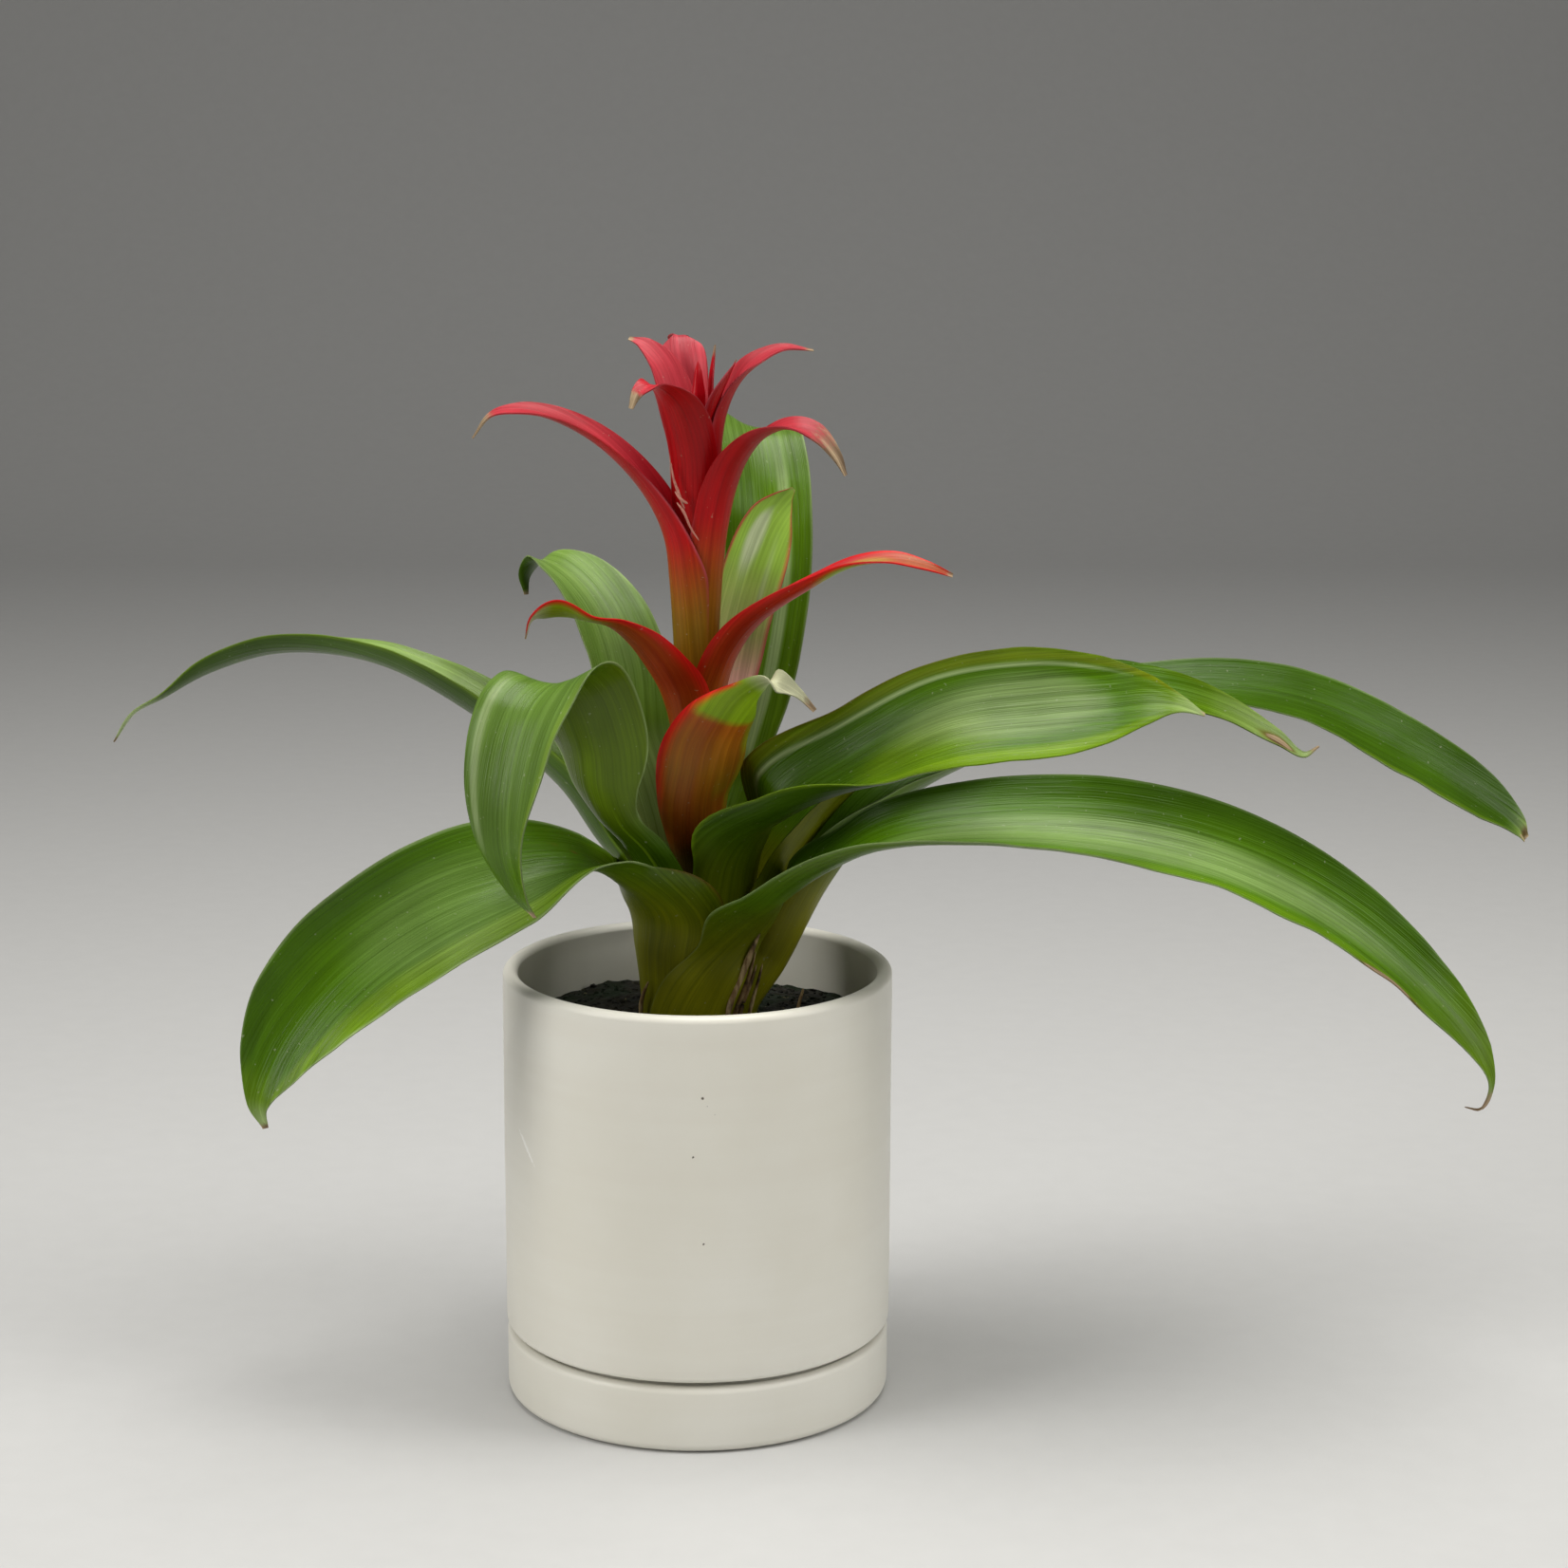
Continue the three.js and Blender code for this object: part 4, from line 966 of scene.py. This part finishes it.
bract(2, "bract_left_low", height=191, heading=-145, wrap=84, parting=226,
    path=[[-9, -9.5, 239, 14, 72, 8], [-14, -17, 250, 12, 60, 10], [-20, -24, 259, 9.5, 50, 10],
          [-27, -29.5, 265, 7, 38, 5], [-36, -34, 268, 6, 30, 0], [-46, -38, 271, 5.6, 25, 40],
          [-52, -40, 269, 3, 20, 40], [-54, -41, 263, 0.8, 20, 40]],
    folds=[pleats(2, 3, span(0, 2, 5, 7), 3)],
    olive=[ramp({-2: 0.7, -0.8: 0.45, 0.5: 0.22, 2: 0.3, 3: 0.35, 4: 0.8, 5.5: 0.7})],
    lime=[rim(1, -1, 0.6, {1.8: 0, 2.5: 1, 3.6: 1, 4.4: 0.4}), ramp({3.2: 0, 4: 0.8, 5.4: 0.7})],
    red=[rim(1, 1, 0.6, {-1: 0.4, 0.5: 1, 5: 1}), rim(0.9, -1, 0.8, {-1: 0.4, 0.5: 1, 2.2: 1, 2.6: 0})],
    cream=[ramp({5: 0, 5.8: 0.5, 6.4: 0.8})],
    dry=[ramp({6.2: 0, 7: 0.8})])
bract(3, "bract_right_low", height=203, heading=-30, wrap=80, parting=232,
    path=[[9.6, -6.4, 246, 12.5, 76, 4], [14, -10, 256, 12, 74, 4], [21, -14, 265, 10.5, 68, 6],
          [36, -19, 276, 8, 56, 8], [49, -22.5, 283.5, 5.8, 42, 12], [62, -25, 286, 4.1, 30, 20],
          [73, -26, 284, 2.2, 20, 25], [81, -26, 281, 0.8, 20, 25]],
    folds=[pleats(2, 3, span(0, 2, 5, 7), 4)],
    olive=[ramp({-2: 0.7, -0.8: 0.5, 0.5: 0.2, 2: 0.1}), ramp({4: 0, 5.4: 0.7, 7: 0.4})],
    red=[rim(1, 0, 0.7, {-1: 0.5, 5: 1})],
    lime=[spot(0.9, 4.1, -0.2, 0.9, 0.7)],
    pale=[ramp({1.4: 0, 2.6: 0.4, 4.6: 0.5, 6: 0.3}, 0)],
    dry=[ramp({6.4: 0, 7: 0.7})])
bract(4, "bract_left_high", height=214, heading=180, wrap=112, parting=276,
    path=[[-10.6, 0.5, 289, 14, 78, 0], [-15, 1.5, 300, 12.5, 66, -6], [-23, 3.5, 311, 10.6, 58, -10],
          [-35, 5.5, 321.5, 8.6, 50, -12], [-49, 6, 328.5, 6, 40, -14], [-59, 7, 330, 3.8, 30, -22],
          [-67, 7, 328.5, 2, 20, -20], [-73, 7, 321, 0.8, 20, -20]],
    folds=[pleats(2, 3, span(0, 2, 5, 7), 5)],
    olive=[height_band(0.95, 258, 292)],
    pale=[rim(0.9, 1, 0.97, span(-1.4, -0.8, 1.2, 2)), ramp({1: 0, 2.4: 0.35, 4.4: 0.4, 5.6: 0.5}, 0)],
    deep=[ramp({0.2: 0, 2: 0.3, 4: 0.2, 5: 0}, 1)],
    dry=[ramp({5.4: 0, 6.4: 0.8})])
bract(5, "bract_right_high", height=226, heading=-25, wrap=86, parting=282,
    path=[[9, -4.4, 296, 12.5, 76, -2], [11, -6.2, 306, 12, 70, -4], [14.4, -9, 315.2, 10.5, 62, -4],
          [20.4, -12.5, 323, 8, 50, 0], [29, -15, 327, 5.8, 36, 14], [37, -16, 325.4, 4.2, 25, 30],
          [44, -18, 318, 2.2, 20, 30], [47, -18, 312, 0.8, 20, 30]],
    folds=[pleats(2.4, 3, {0: 0, 2: 1, 4: 1.6, 7: 1}, 6)],
    olive=[height_band(0.95, 258, 300)],
    pale=[ramp({2.6: 0, 3.6: 0.4, 5.4: 0.6}), rim(0.8, -1, 0.93, {-2: 0, -1.4: 0.5, -0.4: 1, 0.2: 0})],
    dry=[ramp({3.9: 0, 5: 0.4, 6.4: 0.9})])
bract(6, "bract_front_high", height=237, heading=-105, wrap=72, parting=302,
    path=[[-2.4, -9.6, 316, 9.6, 58, 0], [-4.4, -12.6, 326, 9.4, 50, -4],
          [-7.4, -16.4, 334, 8.4, 40, -12], [-11.4, -20.5, 339, 6.4, 32, -16],
          [-15.4, -24, 341, 4.2, 26, -10], [-18.8, -26.5, 339, 2.2, 20, 0], [-21, -28, 334, 0.8, 20, 0]],
    folds=[pleats(2, 3, span(0, 2, 4, 6), 7)],
    olive=[height_band(0.95, 258, 300)],
    pale=[ramp({3: 0, 4.6: 0.4}), line(0.4, 1, 0.06, {-1.5: 1, 5: 1})],
    cream=[line(0.8, -0.96, 0.06, span(-0.9, -0.7, -0.1, 0.1))],
    dry=[ramp({4.6: 0, 5.4: 0.8})])
bract(7, "bract_right_top", height=249, heading=10, wrap=78, parting=304,
    path=[[7.6, 1.4, 321, 9, 66, -4], [9.4, 2.6, 331, 8.6, 56, -6], [13.4, 4.8, 340, 7.4, 46, 4],
          [19, 7.2, 346, 5.4, 36, 18], [27.5, 9.2, 350, 3.4, 28, 15], [37.5, 11, 349.5, 0.8, 20, 15]],
    folds=[pleats(1.8, 3, span(0, 1, 4, 5), 8)],
    pale=[ramp({-1: 0.1, 1: 0.3, 3: 0.5, 4: 0.55}, 0), rim(0.5, 0, 0.88)],
    dry=[ramp({4.4: 0, 5: 0.8})])
bract(8, "bract_back_top", height=260, heading=92, wrap=62, parting=318,
    path=[[-2, 9.2, 332, 6.8, 48, -4], [-4, 12.6, 342, 8, 42, -4], [-5.4, 15.8, 349.4, 6.9, 24, 0],
          [-6, 19.4, 353.2, 2.2, 16, 0], [-6.4, 24.4, 352, 3.6, 12, 0], [-6.8, 28, 348.4, 0.8, 10, 0]],
    folds=[keel(6, 0.2, span(0, 1, 4, 5))],
    pale=[ramp({-0.5: 0.2, 1: 0.6, 4: 0.8}, 0), rim(0.4, 0, 0.9)],
    dry=[ramp({4.2: 0, 5: 0.7})])
bract(9, "bract_left_top", height=272, heading=122, wrap=62, parting=314,
    path=[[-5.6, 4.6, 328, 6.4, 54, -4], [-8, 6.2, 336, 6.8, 46, -8], [-11.6, 8.8, 345, 5.2, 36, -14],
          [-17.2, 11.5, 351, 2.8, 24, -20], [-22.4, 13, 353, 0.8, 20, -20]],
    folds=[pleats(1.8, 3, span(0, 1, 3, 4), 9)],
    pale=[ramp({-0.5: 0.2, 1.2: 0.5, 3: 0.6}, 0), rim(0.4, 0, 0.9)],
    dry=[ramp({3.3: 0, 4: 0.8})])
bract(10, "bract_inner_right", height=283, heading=-25, wrap=62, parting=316,
    path=[[5.4, -2.6, 328, 6, 56, 4], [7.2, -3.6, 336, 5.4, 46, 8], [9.8, -3.8, 342, 3.4, 36, 12],
          [12.4, -3, 347.5, 0.8, 20, 20]],
    pale=[rim(0.7, 0, 0.8)],
    dry=[ramp({2.6: 0, 3: 0.7})])
bract(11, "bract_inner_thin", height=294, heading=20, wrap=34, parting=316,
    path=[[4.4, 1.2, 330, 2, 30, 0], [4.6, 3, 341, 1.8, 28, 0], [5.6, 5.5, 351.5, 0.8, 20, 0]],
    pale=[rim(0.4, 0, 0.8)],
    dry=[ramp({1.4: 0, 2: 0.9})])


# Pot, saucer, potting mix, stem and bud

def add_pot():
    inside = POT_RADIUS - POT_WALL
    foot_inside = POT_FOOT_RADIUS - POT_WALL
    profile = [(DRAIN_RADIUS, POT_BOTTOM), (POT_FOOT_RADIUS, POT_BOTTOM), (POT_FOOT_RADIUS, POT_STEP)]
    profile += arc(POT_RADIUS - POT_EDGE, POT_STEP + POT_EDGE, POT_EDGE, -90, 0, 10)
    profile += arc(POT_RADIUS - POT_LIP, POT_TOP - POT_LIP, POT_LIP, 0, 90, 12)
    profile += arc(inside + POT_LIP, POT_TOP - POT_LIP, POT_LIP, 90, 180, 12)
    profile += [(inside, POT_STEP + POT_WALL + POT_EDGE), (foot_inside, POT_STEP),
                (foot_inside, POT_BOTTOM + POT_FLOOR), (DRAIN_RADIUS, POT_BOTTOM + POT_FLOOR)]
    profile = finer(profile, POT_SPAN)
    profile = [p for k, p in enumerate(profile) if k == 0 or math.dist(p, profile[k - 1]) > 1e-6]

    def uneven(points):
        # a cast wall is never quite true
        radius = np.hypot(points[:, 0], points[:, 1])
        angle = np.arctan2(points[:, 1], points[:, 0])
        dip = 0.08 * (np.sin(3 * angle + 0.04 * points[:, 2]) - 1)
        scale = np.where(radius > POT_FOOT_RADIUS + 1, 1 + dip / radius, 1)
        points[:, :2] *= scale[:, None]
        return points

    piece = turned("pot_shell", profile, TURN_SIDES, ceramic_material, uneven, closed=True, sharp=50)
    own(piece, "ceramic", "pot")


def add_saucer():
    inside = SAUCER_RADIUS - SAUCER_WALL
    lip = SAUCER_WALL / 2
    profile = [(0, 0)]
    profile += arc(SAUCER_RADIUS - SAUCER_EDGE, SAUCER_EDGE, SAUCER_EDGE, -90, 0, 12)
    profile += arc(SAUCER_RADIUS - lip, SAUCER_HEIGHT - lip, lip, 0, 180, 18)
    profile += [(inside, SAUCER_FLOOR), (0, SAUCER_FLOOR)]
    profile = finer(profile, POT_SPAN)
    piece = turned("saucer_dish", profile, TURN_SIDES, ceramic_material, sharp=50)
    own(piece, "ceramic", "saucer")


def soil_height(x, y):
    """Fine crumbly relief over broad soft mounds."""
    rough = 0.8 * noise.fractal(Vector((x * 0.16, y * 0.16, 4.2)), 0.7, 2.1, 5)
    return rough + 0.8 * noise.noise(Vector((x * 0.05, y * 0.05, 1.0)))


def add_soil():
    inside = POT_RADIUS - POT_WALL - CLEARANCE
    foot_inside = POT_FOOT_RADIUS - POT_WALL - CLEARANCE
    bottom = SAUCER_FLOOR + POT_FLOOR + 2 * CLEARANCE
    profile = [(0, bottom), (foot_inside, bottom), (foot_inside, POT_STEP),
               (inside, POT_STEP + POT_WALL + POT_EDGE)]
    for k in range(SOIL_RINGS + 1):
        share = k / SOIL_RINGS
        profile.append((inside + (POCKET_RADIUS - inside) * share, SOIL_TOP + SOIL_CROWN * share))
    profile += [(POCKET_RADIUS, POCKET_FLOOR), (STUMP_RADIUS + CLEARANCE, POCKET_FLOOR),
                (STUMP_RADIUS + CLEARANCE, STUMP_BOTTOM - CLEARANCE), (0, STUMP_BOTTOM - CLEARANCE)]

    def rough(points):
        for point in points:
            if point[2] > SOIL_TOP - 1:
                point[2] += soil_height(point[0], point[1])
        return points

    piece = turned("potting_mix_bed", profile, TURN_SIDES, soil_material, rough)
    own(piece, "potting_mix", "potting_mix")


def add_crumbs():
    """Bark and peat crumbs that lie half sunk in the top of the mix. Each is a ragged body of
    twelve corners and twenty sides."""
    rng = np.random.default_rng(CRUMB_SEED)
    golden = (1 + 5 ** 0.5) / 2
    corners = unit(np.array([(-1, golden, 0), (1, golden, 0), (-1, -golden, 0), (1, -golden, 0),
                             (0, -1, golden), (0, 1, golden), (0, -1, -golden), (0, 1, -golden),
                             (golden, 0, -1), (golden, 0, 1), (-golden, 0, -1), (-golden, 0, 1)], float))
    sides = [(0, 11, 5), (0, 5, 1), (0, 1, 7), (0, 7, 10), (0, 10, 11), (1, 5, 9), (5, 11, 4), (11, 10, 2),
             (10, 7, 6), (7, 1, 8), (3, 9, 4), (3, 4, 2), (3, 2, 6), (3, 6, 8), (3, 8, 9), (4, 9, 5),
             (2, 4, 11), (6, 2, 10), (8, 6, 7), (9, 8, 1)]
    width = POT_RADIUS - POT_WALL - POCKET_RADIUS - CLEARANCE
    nearest = POCKET_RADIUS + CRUMB_POCKET_GAP
    farthest = POT_RADIUS - POT_WALL - CRUMB_WALL_GAP
    points = []
    faces = []
    for _ in range(CRUMB_COUNT):
        radius = math.sqrt(rng.uniform(nearest ** 2, farthest ** 2))
        angle = rng.uniform(0, 2 * math.pi)
        x = radius * math.cos(angle)
        y = radius * math.sin(angle)
        size = rng.uniform(CRUMB_SMALL, CRUMB_LARGE)
        size = size * np.array([1, rng.uniform(0.5, 1), rng.uniform(0.35, 0.8)])
        turn = np.array(Matrix.Rotation(rng.uniform(0, 6.3), 3, "Z")
                        @ Matrix.Rotation(rng.uniform(-0.5, 0.5), 3, "X"))
        ragged = corners * rng.uniform(0.7, 1.15, (12, 1)) * size
        crown = SOIL_CROWN * (1 - (radius - POCKET_RADIUS) / width)
        height = SOIL_TOP + crown + soil_height(x, y)
        start = len(points)
        points += (ragged @ turn.T + np.array([x, y, height + 0.1])).tolist()
        faces += [tuple(start + c for c in side) for side in sides]
    own(add_mesh("potting_mix_crumbs", points, faces, soil_material), "potting_mix")


def add_tube(name, route, sides, material, slot):
    """A round piece along a route of x, y, z and radius, with rounded ends."""
    route = np.array(route, float)
    count = TUBE_RINGS * (len(route) - 1)
    position = np.linspace(0, len(route) - 1, count + 1)
    middle = blade_run(route[:, :3])(position)
    radius = np.interp(position, np.arange(len(route)), route[:, 3])
    radius = radius * np.sqrt(clamp(1 - (2 * np.arange(count + 1) / count - 1) ** 12)) + 0.02
    along = unit(np.gradient(middle, axis=0))
    side = unit(np.cross(along, np.array([0.31, 0.2, 0.93])))
    other = np.cross(along, side)
    points = []
    faces = []
    for i in range(count + 1):
        for k in range(sides):
            angle = 2 * math.pi * k / sides
            spoke = side[i] * math.cos(angle) + other[i] * math.sin(angle)
            points.append(middle[i] + radius[i] * spoke)
    for i in range(count):
        for k in range(sides):
            n = (k + 1) % sides
            faces.append((i * sides + k, i * sides + n, (i + 1) * sides + n, (i + 1) * sides + k))
    faces.append(tuple(range(sides))[::-1])
    faces.append(tuple(count * sides + k for k in range(sides)))
    own(add_mesh(name, points, faces, material), slot)


def add_litter():
    """The dry strips and the twig on the foot, and torn skin on the flower head."""
    for k, strip in enumerate(DRY_STRIPS):
        route = []
        for degrees, height, thick in strip:
            radius = flared(OUTER_FOOT_RADIUS, FRONT_FLARE, height) + STRIP_LIFT
            route.append((*polar(radius, degrees), height, thick))
        add_tube(f"dry_strip_{k + 1}", route, LITTER_SIDES, litter_material, "potting_mix")
    add_tube("twig", TWIG, LITTER_SIDES, litter_material, "potting_mix")
    for k, strip in enumerate(TORN_SKIN):
        add_tube(f"torn_skin_{k + 1}", strip, SKIN_SIDES, torn_material, "red_bract")


def add_stem():
    foot_gap = CLEARANCE + LEAF_THICKNESS / 2
    cone_radius = OUTER_FOOT_RADIUS - LAYER_PITCH * (LEAF_COUNT - 1) - foot_gap
    cone_height = OUTER_FOOT_HEIGHT + LAYER_RISE * (LEAF_COUNT - 1)
    profile = [(0, STUMP_BOTTOM), (STUMP_RADIUS, STUMP_BOTTOM), (STUMP_RADIUS, POCKET_FLOOR),
               (OUTER_FOOT_RADIUS - foot_gap, OUTER_FOOT_HEIGHT - CLEARANCE), (cone_radius, cone_height),
               (STALK_FOOT_RADIUS, STALK_FOOT_HEIGHT), (stalk_radius(STALK_TOP), STALK_TOP), (0, STALK_TOP)]
    piece = turned("flower_stalk_round", finer(profile, STALK_SPAN), STALK_SIDES, stem_material)
    own(piece, "stalk", "flower_stalk")


def add_bud():
    bottom = STALK_TOP + CLEARANCE
    tall = BUD_TOP - bottom
    share = np.array([0, 0, 0.3, 0.75, 0.92, 1])
    radius = np.array([0, 0.5, 0.62, 0.95, 0.5, 0])
    steps = np.linspace(0.02, 0.985, BUD_RINGS)
    profile = [(0, bottom)]
    for step in steps:
        profile.append((BUD_RADIUS * np.interp(step, share, radius), bottom + tall * step))
    profile.append((0, BUD_TOP))

    def ribbed(points):
        angle = np.arctan2(points[:, 1], points[:, 0])
        twist = angle + (points[:, 2] - bottom) * 0.03
        scale = 1 + 0.13 * np.cos(3 * angle) - 0.05 * np.abs(np.sin(4.5 * twist))
        points[:, :2] *= scale[:, None]
        return points

    piece = turned("flower_bud_folded", profile, BUD_SIDES, bract_material, ribbed)
    own(piece, "red_bract", "flower_bud")


add_pot()
add_saucer()
add_soil()
add_crumbs()
add_stem()
add_bud()


# Scene: floor, light and camera

def add_floor():
    """A pale floor that curves up into a backdrop far behind."""
    section = [(FLOOR_FRONT, 0), (0, 0), (FLOOR_BACK - FLOOR_BEND, 0)]
    section += arc(FLOOR_BACK - FLOOR_BEND, FLOOR_BEND, FLOOR_BEND, -90, 0, FLOOR_BEND_STEPS)[1:]
    section.append((FLOOR_BACK, FLOOR_RISE))
    points = [(x, y, z - FLOOR_DROP) for y, z in section for x in (-FLOOR_WIDE, FLOOR_WIDE)]
    faces = [(2 * k, 2 * k + 1, 2 * k + 3, 2 * k + 2) for k in range(len(section) - 1)]
    paint = Paint("floor")
    grain = paint.noise(paint.place(), 90)
    material = paint.finish(Base_Color=paint.mix(grain, *FLOOR), Roughness=0.7)
    floor = add_mesh("floor", np.array(points) / MM, faces, material)


def add_lamp(name, place, target, size, power):
    light = bpy.data.lights.new(name, "AREA")
    light.shape = "RECTANGLE"
    light.size, light.size_y = size
    light.energy = power
    light.color = LAMP_COLOUR
    lamp = linked(name, light)
    lamp.location = place
    lamp.rotation_euler = (Vector(target) - Vector(place)).to_track_quat("-Z", "Y").to_euler()


def add_sky():
    sky = bpy.data.worlds.new("studio")
    sky.use_nodes = True
    background = sky.node_tree.nodes["Background"]
    background.inputs["Color"].default_value = SKY_COLOUR
    background.inputs["Strength"].default_value = SKY_STRENGTH
    bpy.context.scene.world = sky


def add_camera():
    """Set at its place, then turned by yaw, pitch and roll."""
    data = bpy.data.cameras.new("camera")
    data.lens = CAMERA_LENS
    data.sensor_width = SENSOR_WIDTH
    data.clip_start = 0.05
    camera = linked("camera", data)
    camera.matrix_world = (Matrix.Translation((0, -CAMERA_DISTANCE * MM, CAMERA_HEIGHT * MM))
                           @ Matrix.Rotation(-math.radians(CAMERA_YAW), 4, "Z")
                           @ Matrix.Rotation(math.radians(90 - CAMERA_PITCH), 4, "X")
                           @ Matrix.Rotation(math.radians(CAMERA_ROLL), 4, "Z"))
    bpy.context.scene.camera = camera


add_litter()
add_floor()
add_sky()
for settings in LAMPS:
    add_lamp(*settings)
add_camera()
bpy.context.scene.view_settings.view_transform = "Standard"
